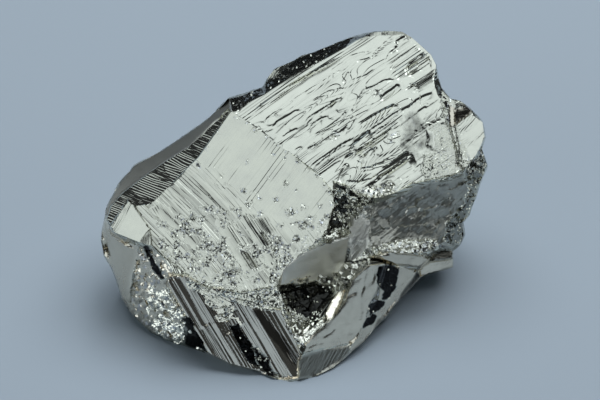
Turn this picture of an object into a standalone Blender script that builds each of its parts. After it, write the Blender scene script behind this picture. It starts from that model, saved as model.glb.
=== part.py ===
"""Pyrite: one lump of intergrown crystals with flat striated faces, stepped flanks and broken hollows.

The front of the lump is drawn as a sheet on a plan: the lump as it looks from the front, 40 degrees
down. A plan point is (x, y, out): x runs right and y runs down from the plan's top left corner, and
out is the height towards the eye. Crystal faces are true planes, so a corner placed on one by name
lies exactly on it. The sheet is then given depth, and flat cuts shape the back, sides and base.
"""

import math

import bmesh
import bpy
from mathutils import Vector
from mathutils.geometry import delaunay_2d_cdt

# Driving dimensions
LUMP_WIDTH = 0.0502  # metres, from the left edge of the lump to its right edge
PLAN_WIDTH = 386.0  # the same width in plan units
VIEW_TILT = math.radians(40)  # how far down the plan's eye looks
EYE = 2500.0  # plan units from the plan's centre to the eye
CENTRE = (300.0, 200.0)  # the plan's centre
GROUND = -118.0  # height of the ground below the plan's centre, in plan units
SHEET_DEPTH = 330.0  # how far behind the plan's centre the front sheet is extended before the cuts

TIDY_GAP = 0.00002  # metres; corners that a cut leaves closer than this are joined
CUT_GAP = 0.000005  # metres; corners this close to a cut count as lying on it
SAME_SPOT = 1e-6  # plan units; corners this close are one corner
INSIDE_ONLY = 1  # how triangles are kept: only those within the outline

UNIT = LUMP_WIDTH / PLAN_WIDTH
MIDDLE = Vector((0.0, 0.0, 0.0152))  # the plan's centre, above the face that the lump rests on

# Metal
PYRITE_COLOUR = (0.60, 0.60, 0.54, 1.0)
PYRITE_ROUGHNESS = 0.18

# Crystal faces: a point on each, then how far its normal leans right and up for each unit out.
FACES = {
    "front": ((240, 180, 0), 0.09, 0.44),
    "upper": ((270, 135, -19), -0.05, 0.41),
    "corner_block": ((130, 222, 24), 0.09, 0.44),
    "right_block": ((468, 135, -16), -0.02, 0.36),
    "comb": ((150, 208, 18), -0.72, 1.18),
    "left_side": ((136, 255, 20), -1.35, -0.25),
    "roof": ((283, 270, 36), 0.80, -0.40),
    "keel": ((303, 350, 40), 0.62, -0.34),
}

# The outline, clockwise from the notch between the two top faces.
OUTLINE = (
    (229, 98, -52), (245, 94, -56), (262, 87, -60), (266, 80, -62), (275, 70, -64), (300, 57, -68),
    (330, 45, -70), (352, 38, -70), (372, 33, "upper"), (388, 31, "upper"), (402, 31, "upper"),
    (411, 37, "upper"), (421, 46, "upper"), (431, 55, "upper"), (436, 65, "upper"), (438, 78, -40),
    (441, 88, -38), (450, 99, -32), (460, 101, -30), (470, 108, -30), (477, 115, -28), (483, 122, -27),
    (485, 137, -22), (481, 149, -18), (484, 158, -18), (487, 166, -20), (483, 175, -20), (477, 188, -24),
    (473, 203, -28), (469, 215, -34), (462, 222, -36), (464, 234, -40), (459, 245, -44), (453, 251, -52),
    (453, 267, -60), (440, 271, -62), (428, 275, -64), (420, 277, -52), (410, 288, -34), (400, 300, -22),
    (388, 315, -12), (374, 329, -3), (364, 341, 4), (350, 354, 10), (334, 367, 20), (318, 375, 27),
    (305, 380, "ground"), (290, 383, "ground"), (282, 381, "ground"), (272, 377, 31), (259, 372, 25),
    (246, 369, 18), (232, 366, 15), (216, 358, 6), (200, 352, "ground"), (190, 348, -5), (180, 345, -9),
    (166, 340, -14), (151, 333, -19), (140, 322, -23), (130, 312, -26), (122, 299, -27), (118, 284, -26),
    (112, 268, -26), (104, 255, -24), (101, 240, -22), (103, 225, -24), (108, 206, -28), (118, 187, -36),
    (134, 166, -48), (150, 157, -47), (170, 146, -50), (200, 125, -54), (216, 112, -55),
)

# Flat crystal faces, each a closed ring of corners on one plane.
RINGS = {
    "front": ((231, 112), (262, 132), (299, 160), (318, 174), (332, 191), (335, 206), (327, 233),
              (301, 254), (284, 269), (276, 287), (240, 293), (205, 287), (186, 275), (164, 258),
              (152, 246), (151, 231), (150, 209), (178, 178), (199, 157)),
    "upper": ((240, 111), (248, 103), (264, 95), (291, 77), (320, 62), (345, 48), (356, 41), (374, 36),
              (403, 34), (419, 48), (430, 59), (434, 80), (438, 95), (447, 108), (450, 126), (455, 143),
              (459, 163), (464, 170), (452, 176), (430, 180), (412, 184), (397, 192), (378, 198),
              (357, 196), (348, 190), (337, 186), (321, 171), (302, 157), (265, 129)),
    "corner_block": ((114, 232), (131, 205), (148, 229), (139, 242)),
    "right_block": ((456, 127), (473, 115), (481, 124), (483, 136), (479, 148), (474, 157), (463, 160),
                    (459, 142)),
    "comb": ((109, 222), (121, 196), (155, 169), (183, 151), (216, 116), (227, 111), (197, 154),
             (177, 176), (149, 206), (131, 201), (113, 226)),
    "left_side": ((112, 238), (127, 244), (135, 255), (133, 272), (129, 290), (125, 296), (119, 280),
                  (113, 262), (106, 250)),
    "roof": ((286, 270), (302, 257), (326, 245), (348, 238), (344, 263), (335, 275), (315, 280),
             (297, 283), (281, 284)),
    "keel": ((306, 348), (314, 335), (334, 318), (346, 301), (353, 280), (368, 266), (384, 264),
             (379, 279), (366, 312), (362, 327), (352, 342), (322, 347)),
}

# Edges, ledges and broken ridges between the faces.
LINES = {
    "corner_edge": ((279, 290, 43), (286, 308, 42), (292, 333, 41), (301, 357, 38), (298, 370, 36)),
    "flank_steps": (
        ((262, 307, 45), (280, 335, 41), (296, 363, 36)),
        ((251, 302, 48), (270, 336, 43), (288, 367, 37)),
        ((236, 303, 45), (256, 336, 36), (279, 373, 29)),
        ((241, 326, 39), (255, 348, 32), (268, 368, 25)),
        ((229, 330, 40), (240, 348, 34), (253, 368, 26)),
        ((222, 326, 36), (232, 343, 29), (243, 362, 20)),
        ((202, 302, 45), (220, 328, 33), (236, 360, 16)),
        ((179, 280, 44), (192, 302, 37), (206, 326, 28)),
        ((174, 283, 43), (188, 306, 36), (202, 330, 27)),
        ((169, 288, 36), (186, 316, 22), (206, 350, 3)),
    ),
    "wedge": ((143, 247, 30), (152, 262, 27), (164, 278, 31)),
    "hollow": ((283, 295, 15), (291, 314, 15), (302, 327, 14), (315, 311, 8), (331, 291, -2),
               (315, 286, 1), (295, 291, 9)),
    "hollow_floor": ((297, 303, 8), (311, 298, 2)),
    "white_ridge": ((345, 290, 10), (335, 300, 14), (323, 317, 24), (303, 336, 36)),
    "pit": ((340, 192, -16), (344, 206, -22), (345, 220, -20), (338, 232, -8)),
    "hollow_rim": ((359, 201, 2), (380, 202, 3), (398, 197, 4), (413, 189, 4), (432, 185, 3),
                   (453, 181, -2), (468, 175, -8)),
    "saddle": ((352, 214, -6), (371, 220, 1), (400, 216, -3), (430, 210, -7), (455, 203, -16)),
    "crumbly_foot": ((372, 240, 1), (392, 240, -1), (416, 237, -4), (438, 234, -12), (452, 226, -24)),
    "crumbly_crest": ((380, 250, 5), (400, 253, 6), (422, 253, 1), (437, 246, -8), (450, 238, -24)),
    "band_foot": ((352, 262, -10), (372, 259, -3), (396, 266, -8), (418, 268, -18), (432, 254, -32)),
    "small_crystal": ((434, 255, -46), (451, 253, -52), (451, 259, -51), (430, 261, -46)),
    "edge_band": ((393, 300, -8), (400, 283, -14), (412, 277, -26), (398, 272, -16)),
    "band_strip": ((386, 285, -6), (379, 303, -2), (369, 325, 4), (356, 345, 11)),
    "bottom_edge": ((305, 356, 37), (322, 351, 28), (351, 346, 11)),
    "left_ridge": ((138, 248, 25), (139, 262, 17), (137, 275, 8), (134, 290, -2), (131, 303, -14)),
    "crumbs": ((147, 268, 20), (153, 285, 20), (146, 283, 6), (140, 279, 3), (147, 296, 8), (160, 296, 22),
               (153, 308, 8), (167, 306, 24), (176, 309, 21), (160, 318, 10), (147, 317, -4),
               (170, 322, 12), (160, 331, -2), (174, 334, 3), (184, 330, 10)),
}

# Grooves, sunk below a face, and ribs, raised above it: the line along the middle, which runs to a
# point at both ends, then the half width and how far it rises.
STRIPES = (
    ("upper", ((353, 124), (378, 112), (412, 99)), 3.0, -3.5),
    ("upper", ((346, 152), (370, 132), (398, 111)), 2.0, -2.5),
    ("upper", ((344, 158), (370, 144), (397, 126)), 2.0, -2.5),
    ("upper", ((338, 178), (344, 163)), 1.8, -2.5),
    ("upper", ((352, 185), (380, 172), (413, 152)), 4.5, -6.0),
    ("upper", ((379, 99), (388, 91), (398, 84)), 2.2, -2.5),
    ("upper", ((405, 63), (423, 53)), 2.0, -2.5),
    ("upper", ((408, 74), (430, 61)), 2.0, -2.5),
    ("upper", ((272, 114), (325, 84)), 2.5, 2.0),
    ("upper", ((284, 126), (320, 108), (344, 88)), 3.0, 2.5),
    ("upper", ((300, 143), (338, 121)), 3.0, 2.5),
    ("upper", ((318, 155), (342, 138)), 2.5, 2.0),
    ("upper", ((330, 80), (366, 58)), 2.5, 2.0),
    ("upper", ((350, 94), (384, 68)), 2.5, 2.0),
    ("upper", ((392, 184), (428, 160)), 3.0, 2.0),
    ("upper", ((420, 120), (440, 104)), 2.5, 2.0),
    ("front", ((223, 232), (243, 251), (261, 270)), 2.4, -3.0),
    ("front", ((264, 228), (283, 258)), 2.2, -2.5),
    ("front", ((302, 164), (277, 195)), 1.5, -1.2),
    ("front", ((186, 186), (212, 207), (238, 231)), 2.2, 1.5),
    ("front", ((163, 203), (190, 225), (216, 250)), 3.0, 2.0),
    ("front", ((158, 221), (180, 240), (200, 262)), 3.0, 2.0),
    ("comb", ((125, 196), (145, 201)), 1.6, -4.0),
    ("comb", ((140, 183), (159, 190)), 2.4, -5.0),
    ("comb", ((158, 170), (174, 175)), 1.6, -3.0),
)

# A pit with two levels, sunk in the upper face: each ring of corners and how far it rises.
PIT = (
    (((354, 169), (366, 151), (386, 139), (399, 148), (384, 163)), 0.0),
    (((359, 166), (369, 153), (386, 143), (394, 149), (382, 160)), -3.5),
    (((364, 163), (372, 155), (386, 147), (389, 150), (380, 157)), -6.0),
)
TAPER = 0.16  # the part of a stripe's end lengths over which it narrows to its point

# Flat cuts behind the sheet: which way each faces, as degrees round from the right and degrees up,
# and how far it lies from the lump's middle, in metres. The last one is the flat face it rests on.
CUTS = (
    (112, -8, 0.0165), (52, -6, 0.0230), (150, -14, 0.0232), (8, -14, 0.0240), (196, -38, 0.0269),
    (-22, -62, 0.0196), (80, -48, 0.0195), (125, -34, 0.0205), (30, -36, 0.0235), (0, -90, 0.0152),
)


def ray_to_plane(x, y, normal, reach):
    """How far out the eye's ray through plan point (x, y) meets a plane."""
    across = normal.x * (x - CENTRE[0]) + normal.y * (CENTRE[1] - y)
    return (reach - across) / (normal.z - across / EYE)


def out_on(face, x, y):
    """How far out a named face, or the ground, is at a plan point."""
    if face == "ground":
        normal = Vector((0.0, math.cos(VIEW_TILT), math.sin(VIEW_TILT)))
        return ray_to_plane(x, y, normal, GROUND)
    (x0, y0, out0), lean_right, lean_up = FACES[face]
    normal = Vector((lean_right, lean_up, 1.0))
    return ray_to_plane(x, y, normal, normal.dot(spread(x0, y0, out0)))


def spread(x, y, out):
    """Right, up and out of a plan point, which the eye sees smaller the deeper it lies."""
    size = 1.0 - out / EYE
    return Vector(((x - CENTRE[0]) * size, (CENTRE[1] - y) * size, out))


def upright(point):
    """A point given as right, up and out, standing on the ground in metres."""
    right, up, out = point
    back = up * math.sin(VIEW_TILT) - out * math.cos(VIEW_TILT)
    height = up * math.cos(VIEW_TILT) + out * math.sin(VIEW_TILT)
    return MIDDLE + Vector((right, back, height)) * UNIT


def stripe_lines(face, spine, half_width, rise):
    """The rim and the bottom or crest of one groove or rib."""
    points = [Vector(point) for point in spine]
    start, end = points[0], points[-1]
    inner = [start.lerp(points[1], TAPER), *points[1:-1], end.lerp(points[-2], TAPER)]
    side = (end - start).normalized().orthogonal() * half_width
    rim = [start, *(point + side for point in inner), end, *(point - side for point in reversed(inner))]
    yield [(x, y, out_on(face, x, y)) for x, y in rim], True
    yield [(x, y, out_on(face, x, y) + rise) for x, y in inner], False


def sheet_lines():
    """Every line of the front sheet as (points, closed), each point as (x, y, out)."""
    yield [(x, y, out_on(out, x, y) if isinstance(out, str) else out) for x, y, out in OUTLINE], True
    for face, ring in RINGS.items():
        yield [(x, y, out_on(face, x, y)) for x, y in ring], True
    for line in LINES.values():
        for points in line if isinstance(line[0][0], tuple) else (line,):
            yield points, False
    for stripe in STRIPES:
        yield from stripe_lines(*stripe)
    for ring, rise in PIT:
        yield [(x, y, out_on("upper", x, y) + rise) for x, y in ring], True


def draw_sheet():
    """The front sheet: its corners as (x, y, out), the corners of each triangle, and those of the rim."""
    corners, edges = [], []
    for points, closed in sheet_lines():
        first = len(corners)
        corners += points
        edges += [(i, i + 1) for i in range(first, len(corners) - 1)]
        if closed:
            edges.append((len(corners) - 1, first))
    flat = [Vector(corner[:2]) for corner in corners]
    outline = list(range(len(OUTLINE)))
    verts, _, triangles, sources, _, _ = delaunay_2d_cdt(flat, edges, [outline], INSIDE_ONLY, SAME_SPOT)
    crossings = [tuple(vert) for vert, source in zip(verts, sources) if not source]
    if crossings:
        raise ValueError(f"lines of the sheet cross at {crossings}")
    order = [source[0] for source in sources]
    rim = [order.index(corner) for corner in outline]
    return [corners[source] for source in order], triangles, rim


def extend_back(mesh, rim, corners):
    """Close the sheet into a block by running its rim back along the eye's rays."""
    back = [mesh.verts.new(upright(spread(x, y, -SHEET_DEPTH))) for x, y, _ in corners]
    for i, vert in enumerate(rim):
        following = (i + 1) % len(rim)
        mesh.faces.new((vert, rim[following], back[following], back[i]))
    mesh.faces.new(reversed(back))


def facing(azimuth, elevation):
    """The direction that points some degrees round from the right and some degrees up."""
    level = math.cos(math.radians(elevation))
    turn = math.radians(azimuth)
    return Vector((level * math.cos(turn), level * math.sin(turn), math.sin(math.radians(elevation))))


def cut_flat(mesh, normal, distance):
    """Take away all that lies beyond a flat cut, and close the cut with one flat face."""
    everything = mesh.verts[:] + mesh.edges[:] + mesh.faces[:]
    cut = bmesh.ops.bisect_plane(mesh, geom=everything, plane_co=MIDDLE + normal * distance,
                                 plane_no=normal, clear_outer=True, dist=CUT_GAP)
    rim = [item for item in cut["geom_cut"] if isinstance(item, bmesh.types.BMEdge)]
    bmesh.ops.contextual_create(mesh, geom=rim)


def stand_on_origin(mesh):
    """Move the mesh so that the middle of its box stands on the origin."""
    lowest = Vector(min(vert.co[axis] for vert in mesh.verts) for axis in range(3))
    highest = Vector(max(vert.co[axis] for vert in mesh.verts) for axis in range(3))
    middle = (lowest + highest) / 2
    middle.z = lowest.z
    bmesh.ops.translate(mesh, verts=mesh.verts, vec=-middle)


def make_lump():
    """The whole specimen as one closed mesh."""
    corners, triangles, rim = draw_sheet()
    mesh = bmesh.new()
    verts = [mesh.verts.new(upright(spread(*corner))) for corner in corners]
    for triangle in triangles:
        mesh.faces.new([verts[i] for i in triangle])
    extend_back(mesh, [verts[i] for i in rim], [corners[i] for i in rim])
    bmesh.ops.recalc_face_normals(mesh, faces=mesh.faces)
    for azimuth, elevation, distance in CUTS:
        cut_flat(mesh, facing(azimuth, elevation), distance)
    bmesh.ops.remove_doubles(mesh, verts=mesh.verts, dist=TIDY_GAP)
    bmesh.ops.dissolve_degenerate(mesh, edges=mesh.edges, dist=TIDY_GAP)
    bmesh.ops.triangulate(mesh, faces=mesh.faces)
    bmesh.ops.recalc_face_normals(mesh, faces=mesh.faces)
    stand_on_origin(mesh)
    lump = bpy.data.meshes.new("pyrite")
    mesh.to_mesh(lump)
    mesh.free()
    return lump


def metal():
    """Bright, pale yellowish-grey metal."""
    material = bpy.data.materials.new("pyrite")
    material.use_nodes = True
    shader = material.node_tree.nodes["Principled BSDF"]
    shader.inputs["Base Color"].default_value = PYRITE_COLOUR
    shader.inputs["Metallic"].default_value = 1.0
    shader.inputs["Roughness"].default_value = PYRITE_ROUGHNESS
    return material


def main():
    """Clear the scene and model the specimen."""
    for thing in list(bpy.data.objects):
        bpy.data.objects.remove(thing)
    pyrite = bpy.data.objects.new("pyrite", make_lump())
    pyrite.data.materials.append(metal())
    bpy.context.scene.collection.objects.link(pyrite)


main()
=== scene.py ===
"""Pyrite specimen: one closed lump of intergrown crystals, dressed with its growth lines and breaks.

The CAD solid has the lump's flat faces, steps and hollows. A copy of it is divided finely and given
the relief of each kind of surface: growth terraces, striations, steps, grains and shell-like breaks.
The relief is worked out on a plan, in plan units: x runs right, y runs down and out is the height
towards an eye that looks 40 degrees down on the front of the lump.
"""

import logging
from collections.abc import Callable
from dataclasses import dataclass
from enum import Enum

import bmesh
import bpy
import numpy as np
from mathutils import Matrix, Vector
from mathutils.geometry import delaunay_2d_cdt

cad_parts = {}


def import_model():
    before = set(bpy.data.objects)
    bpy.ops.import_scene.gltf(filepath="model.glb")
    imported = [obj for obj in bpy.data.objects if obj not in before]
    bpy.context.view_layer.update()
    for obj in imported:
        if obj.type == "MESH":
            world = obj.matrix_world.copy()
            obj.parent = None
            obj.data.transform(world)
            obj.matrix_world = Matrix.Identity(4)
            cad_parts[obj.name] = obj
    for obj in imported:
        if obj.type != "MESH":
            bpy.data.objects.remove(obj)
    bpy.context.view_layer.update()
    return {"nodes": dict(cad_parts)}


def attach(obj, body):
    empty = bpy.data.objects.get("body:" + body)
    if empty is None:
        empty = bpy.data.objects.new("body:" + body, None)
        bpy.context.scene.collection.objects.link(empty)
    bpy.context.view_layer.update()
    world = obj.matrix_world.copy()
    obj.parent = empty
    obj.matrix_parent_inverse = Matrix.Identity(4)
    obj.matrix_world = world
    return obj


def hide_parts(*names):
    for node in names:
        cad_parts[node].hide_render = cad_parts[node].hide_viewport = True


log = logging.getLogger("pyrite")

UNIT = 0.000130052  # metres in one plan unit
EYE = 2500.0  # plan units from the plan's centre to the eye
CENTRE = (300.0, 200.0)  # the plan's centre, in plan units
FAR = 1e9  # further than any distance on the plan
TINY = 1e-30  # keeps a length that is divided by above 0
MIXERS = (374761393, 668265263, 974711, 1274126177)  # odd numbers that scatter multiplies by
Array = np.ndarray
Socket = bpy.types.NodeSocket
Pair = tuple[float, float]
Triple = tuple[float, float, float]
Ring = tuple[Pair, ...]
Circles = tuple[Triple, ...]  # x, y and radius of each


# -------------------- the plan

@dataclass(frozen=True)
class Plan:
    """The plan on which the front of the lump is laid out."""

    middle: Triple = (0.00080098, -0.00252974, 0.01520147)
    unit: float = UNIT
    tilt: float = np.radians(40.0)
    eye: float = EYE
    centre: Pair = CENTRE

    def axes(self) -> Array:
        """Rows: right, up and out, as directions in the frame."""
        low, high = np.cos(self.tilt), np.sin(self.tilt)
        return np.array([(1.0, 0.0, 0.0), (0.0, high, low), (0.0, -low, high)])

    def from_frame(self, points: Array) -> Array:
        """Plan coordinates of points.

        Args:
            points: rows of x, y, z in the frame, in metres.

        Returns:
            Rows of x, y, out. A point is seen smaller by its depth over the eye's distance.
        """
        right, up, out = ((points - self.middle) @ self.axes().T / self.unit).T
        size = 1.0 - out / self.eye
        return np.column_stack((self.centre[0] + right / size, self.centre[1] - up / size, out))

    def to_frame(self, plan: Array) -> Array:
        """Points in the frame.

        Args:
            plan: rows of x, y, out.

        Returns:
            Rows of x, y, z, in metres.
        """
        x, y, out = plan.T
        size = 1.0 - out / self.eye
        local = np.column_stack(((x - self.centre[0]) * size, (self.centre[1] - y) * size, out))
        return self.middle + local @ self.axes() * self.unit


# -------------------- numbers that vary over a surface

def scatter(column: Array, row: Array, seed: int) -> Array:
    """A fixed random number for each cell of a lattice: whole numbers mixed by multiply and shift.

    Args:
        column: whole numbers, across.
        row: whole numbers, down.
        seed: which set of random numbers.

    Returns:
        Numbers from 0 to 1.
    """
    by_column, by_row, by_seed, last = MIXERS
    mixed = column.astype(np.int64) * by_column + row.astype(np.int64) * by_row + seed * by_seed
    mixed = (mixed ^ (mixed >> 13)) & 0xFFFFFFFF
    mixed = (mixed * last) & 0xFFFFFFFF
    return ((mixed ^ (mixed >> 16)) & 0xFFFFFF) / float(0xFFFFFF)


def s_shaped(part: Array) -> Array:
    """An S-shaped rise from 0 to 1: three times the square of the part less twice its cube."""
    return part * part * (3.0 - 2.0 * part)


def swell(x: Array, y: Array, seed: int) -> Array:
    """Smooth noise: the four corner numbers of a lattice cell, blended by an S-shaped weight.

    Args:
        x: across, in cells.
        y: down, in cells.
        seed: which noise.

    Returns:
        Numbers from 0 to 1.
    """
    column, row = np.floor(x), np.floor(y)
    across, down = s_shaped(x - column), s_shaped(y - row)
    top = scatter(column, row, seed) * (1 - across) + scatter(column + 1, row, seed) * across
    low = scatter(column, row + 1, seed) * (1 - across) + scatter(column + 1, row + 1, seed) * across
    return top * (1 - down) + low * down


def rough(x: Array, y: Array, seed: int, octaves: int = 3) -> Array:
    """Fractal noise: smooth noise added to itself at half the size and half the height.

    Args:
        x: across, in cells.
        y: down, in cells.
        seed: which noise.
        octaves: how many sizes are added.

    Returns:
        Numbers from 0 to 1.
    """
    total, height, reach = np.zeros_like(x), 1.0, 0.0
    for octave in range(octaves):
        total += height * swell(x * 2**octave, y * 2**octave, seed + 17 * octave)
        reach += height
        height /= 2
    return total / reach


def grains(x: Array, y: Array, seed: int) -> tuple[Array, ...]:
    """Grains: each spot belongs to the nearest of one random point per lattice cell.

    Args:
        x: across, in grains.
        y: down, in grains.
        seed: which grains.

    Returns:
        The grain's own random number, its two tilts from -1 to 1, and the distances across and
        down from the grain's own point, in grains.
    """
    nearest = np.full(x.shape, FAR)
    kept = [np.zeros(x.shape) for _ in range(5)]
    for step_x in (-1, 0, 1):
        for step_y in (-1, 0, 1):
            column, row = np.floor(x) + step_x, np.floor(y) + step_y
            across = x - column - scatter(column, row, seed)
            down = y - row - scatter(column, row, seed + 1)
            distance = np.hypot(across, down)
            tilts = (2.0 * scatter(column, row, seed + more) - 1.0 for more in (2, 3))
            closer = distance < nearest
            values = (scatter(column, row, seed + 4), *tilts, across, down)
            kept = [np.where(closer, value, old) for value, old in zip(values, kept)]
            nearest = np.where(closer, distance, nearest)
    return tuple(kept)


def powers(x: Array, y: Array, order: int) -> Array:
    """The terms 1, u, v and, for order 2, u*u, u*v, v*v; u and v are hundreds of plan units.

    Args:
        x: across.
        y: down.
        order: 1 or 2.

    Returns:
        A column for each term.
    """
    u, v = (x - CENTRE[0]) / 100.0, (y - CENTRE[1]) / 100.0
    terms = [np.ones_like(u), u, v]
    if order > 1:
        terms += [u * u, u * v, v * v]
    return np.column_stack(terms)


def fitted(x: Array, y: Array, out: Array, order: int) -> Array:
    """How much of each of those powers the surface closest to the given heights has."""
    return np.linalg.lstsq(powers(x, y, order), out, rcond=None)[0]


def stairs(value: Array, riser: float) -> Array:
    """A staircase: the whole part of a value, with a ramp of the given width before each next one."""
    whole = np.floor(value)
    return whole + np.clip((value - whole - (1.0 - riser)) / riser, 0.0, 1.0)


def ease(value: Array, start: float, end: float) -> Array:
    """0 up to start, 1 from end on, and an S-shaped rise between them."""
    return s_shaped(np.clip((value - start) / (end - start), 0.0, 1.0))


def steepness(value: Callable[[Array, Array], Array], x: Array, y: Array) -> Array:
    """How fast a value rises, from its change over one plan unit across and one down.

    Args:
        value: works the value out at given spots.
        x: across.
        y: down.

    Returns:
        The rise of the value per plan unit, the way that it rises fastest.
    """
    rise_x = value(x + 0.5, y) - value(x - 0.5, y)
    rise_y = value(x, y + 0.5) - value(x, y - 0.5)
    return np.hypot(rise_x, rise_y)


def within(x: Array, y: Array, ring: Ring) -> Array:
    """How deep each spot lies inside a closed ring of corners; below 0 it lies outside.

    Args:
        x: across.
        y: down.
        ring: the corners.

    Returns:
        The distance to the nearest side, with its sign from how often a ray crosses the ring.
    """
    distance = np.full(x.shape, FAR)
    inside = np.zeros(x.shape, bool)
    for (x0, y0), (x1, y1) in zip(ring, ring[1:] + ring[:1]):
        along_x, along_y = x1 - x0, y1 - y0
        part = ((x - x0) * along_x + (y - y0) * along_y) / (along_x**2 + along_y**2)
        part = np.clip(part, 0.0, 1.0)
        distance = np.minimum(distance, np.hypot(x - x0 - part * along_x, y - y0 - part * along_y))
        if y0 != y1:
            crosses = ((y0 > y) != (y1 > y)) & (x < x0 + (y - y0) * along_x / along_y)
            inside ^= crosses
    return np.where(inside, distance, -distance)


def turned(x: Array, y: Array, degrees: float) -> tuple[Array, Array]:
    """Coordinates along and across a direction, given as degrees down from the right."""
    turn = np.radians(degrees)
    return x * np.cos(turn) + y * np.sin(turn), y * np.cos(turn) - x * np.sin(turn)


def summed_normals(points: Array, faces: Array) -> Array:
    """Each point's normal: the sum of its triangles' normals, each as long as twice their area.

    Args:
        points: rows of x, y, z.
        faces: the corners of each triangle.

    Returns:
        A vector for each point, of any length.
    """
    a, b, c = (points[faces[:, i]] for i in range(3))
    square = np.cross(b - a, c - a)
    normal = np.zeros_like(points)
    for i in range(3):
        np.add.at(normal, faces[:, i], square)
    return normal


def one_long(vectors: Array) -> Array:
    """The same directions, each 1 long."""
    return vectors / (np.linalg.norm(vectors, axis=1)[:, None] + TINY)


# -------------------- kinds of surface

class Surface(Enum):
    """The kinds of surface on the lump; the value is the place of its material on a piece."""

    TERRACED = 0
    ROLLED = 1
    COMBED = 2
    STEPPED = 3
    SHELL = 4
    CRUST = 5
    FRACTURE = 6
    BACK = 7
    DULL = 8


@dataclass(frozen=True)
class Plane:
    """A true crystal plane: a point on it, and how far its normal leans right and up."""

    point: Triple
    lean_right: float
    lean_up: float

    def out(self, x: Array, y: Array) -> Array:
        """How far out the plane is at each plan spot, where the eye's ray meets it.

        Args:
            x: across.
            y: down.

        Returns:
            The heights, in plan units.
        """
        x0, y0, out0 = self.point
        size = 1.0 - out0 / EYE
        reach = self.lean_right * (x0 - CENTRE[0]) * size + self.lean_up * (CENTRE[1] - y0) * size + out0
        across = self.lean_right * (x - CENTRE[0]) + self.lean_up * (CENTRE[1] - y)
        return (reach - across) / (1.0 - across / EYE)


@dataclass(frozen=True)
class Ledge:
    """A short fall beside a drawn line, which climbs back slowly beyond.

    Height: 0 on one side; on the other, a ramp down over the width and a slow rise over the return,
    both fading to nothing at the line's ends.
    """

    path: Ring
    width: float  # of the fall
    drop: float  # and its depth
    back: float = 8.0  # width of the climb back
    taper: float = 0.12  # share of the line over which each end fades

    def height(self, x: Array, y: Array) -> Array:
        """Height that the ledge adds; the fall lies to the right of the line's heading.

        Args:
            x: across.
            y: down.

        Returns:
            Heights in plan units, 0 or below.
        """
        low, high = np.min(self.path, axis=0), np.max(self.path, axis=0)
        reach = self.width + self.back
        near = (x > low[0] - reach) & (x < high[0] + reach) & (y > low[1] - reach) & (y < high[1] + reach)
        beside, part = beside_path(x[near], y[near], self.path)
        fade = np.clip(np.minimum(part, 1.0 - part) / self.taper, 0.0, 1.0)
        fall = np.clip(beside / self.width, 0.0, 1.0)
        rise = np.clip((beside - self.width) / self.back, 0.0, 1.0)
        made = np.zeros(x.shape)
        made[near] = -self.drop * fall * (1.0 - rise) * fade
        return made


def beside_path(x: Array, y: Array, path: Ring) -> tuple[Array, Array]:
    """Place of each spot beside a drawn line.

    Args:
        x: across.
        y: down.
        path: the line's points.

    Returns:
        The distance to the line, above 0 on the right of its heading, and how far along the line
        the nearest point is, from 0 to 1.
    """
    nearest = np.full(x.shape, FAR)
    side, part = np.zeros(x.shape), np.zeros(x.shape)
    lengths = [float(np.hypot(x1 - x0, y1 - y0)) for (x0, y0), (x1, y1) in zip(path, path[1:])]
    passed = 0.0
    for (x0, y0), (x1, y1), length in zip(path, path[1:], lengths):
        along_x, along_y = (x1 - x0) / length, (y1 - y0) / length
        along = (x - x0) * along_x + (y - y0) * along_y
        held = np.clip(along, 0.0, length)
        distance = np.hypot(x - x0 - held * along_x, y - y0 - held * along_y)
        sign = np.sign(along_x * (y - y0) - along_y * (x - x0))
        closer = distance < nearest
        side = np.where(closer, sign * distance, side)
        part = np.where(closer, (passed + held) / sum(lengths), part)
        nearest = np.minimum(nearest, distance)
        passed += length
    return side, part


def spots(x: Array, y: Array, circles: Circles) -> Array:
    """1 in the middle of each spot, falling to 0 at its rim, which noise makes ragged.

    Args:
        x: across.
        y: down.
        circles: the spots.

    Returns:
        Numbers from 0 to 1.
    """
    share = np.zeros(x.shape)
    for x0, y0, radius in circles:
        ragged = radius * (0.2 + 2.2 * rough(x / 3.0, y / 3.0, 7, 2))
        share = np.maximum(share, np.clip(1.6 - 1.6 * np.hypot(x - x0, y - y0) / ragged, 0.0, 1.0))
    return share


@dataclass
class Dress:
    """How a zone's spots are marked.

    along and across follow the growth lines. level rises by 1 from each fine step to the next,
    slope is how fast it rises and step is the height of one. lines, grain and dark say from 0 to 1
    how strong the fine lines, small grains and darkening are; the darkening is painted shade, which
    stands in for the dark room that the faces reflect and in part for real tarnish.
    """

    along: Array
    across: Array
    level: Array
    slope: Array
    step: Array
    lines: Array
    grain: Array
    dark: Array


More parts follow.
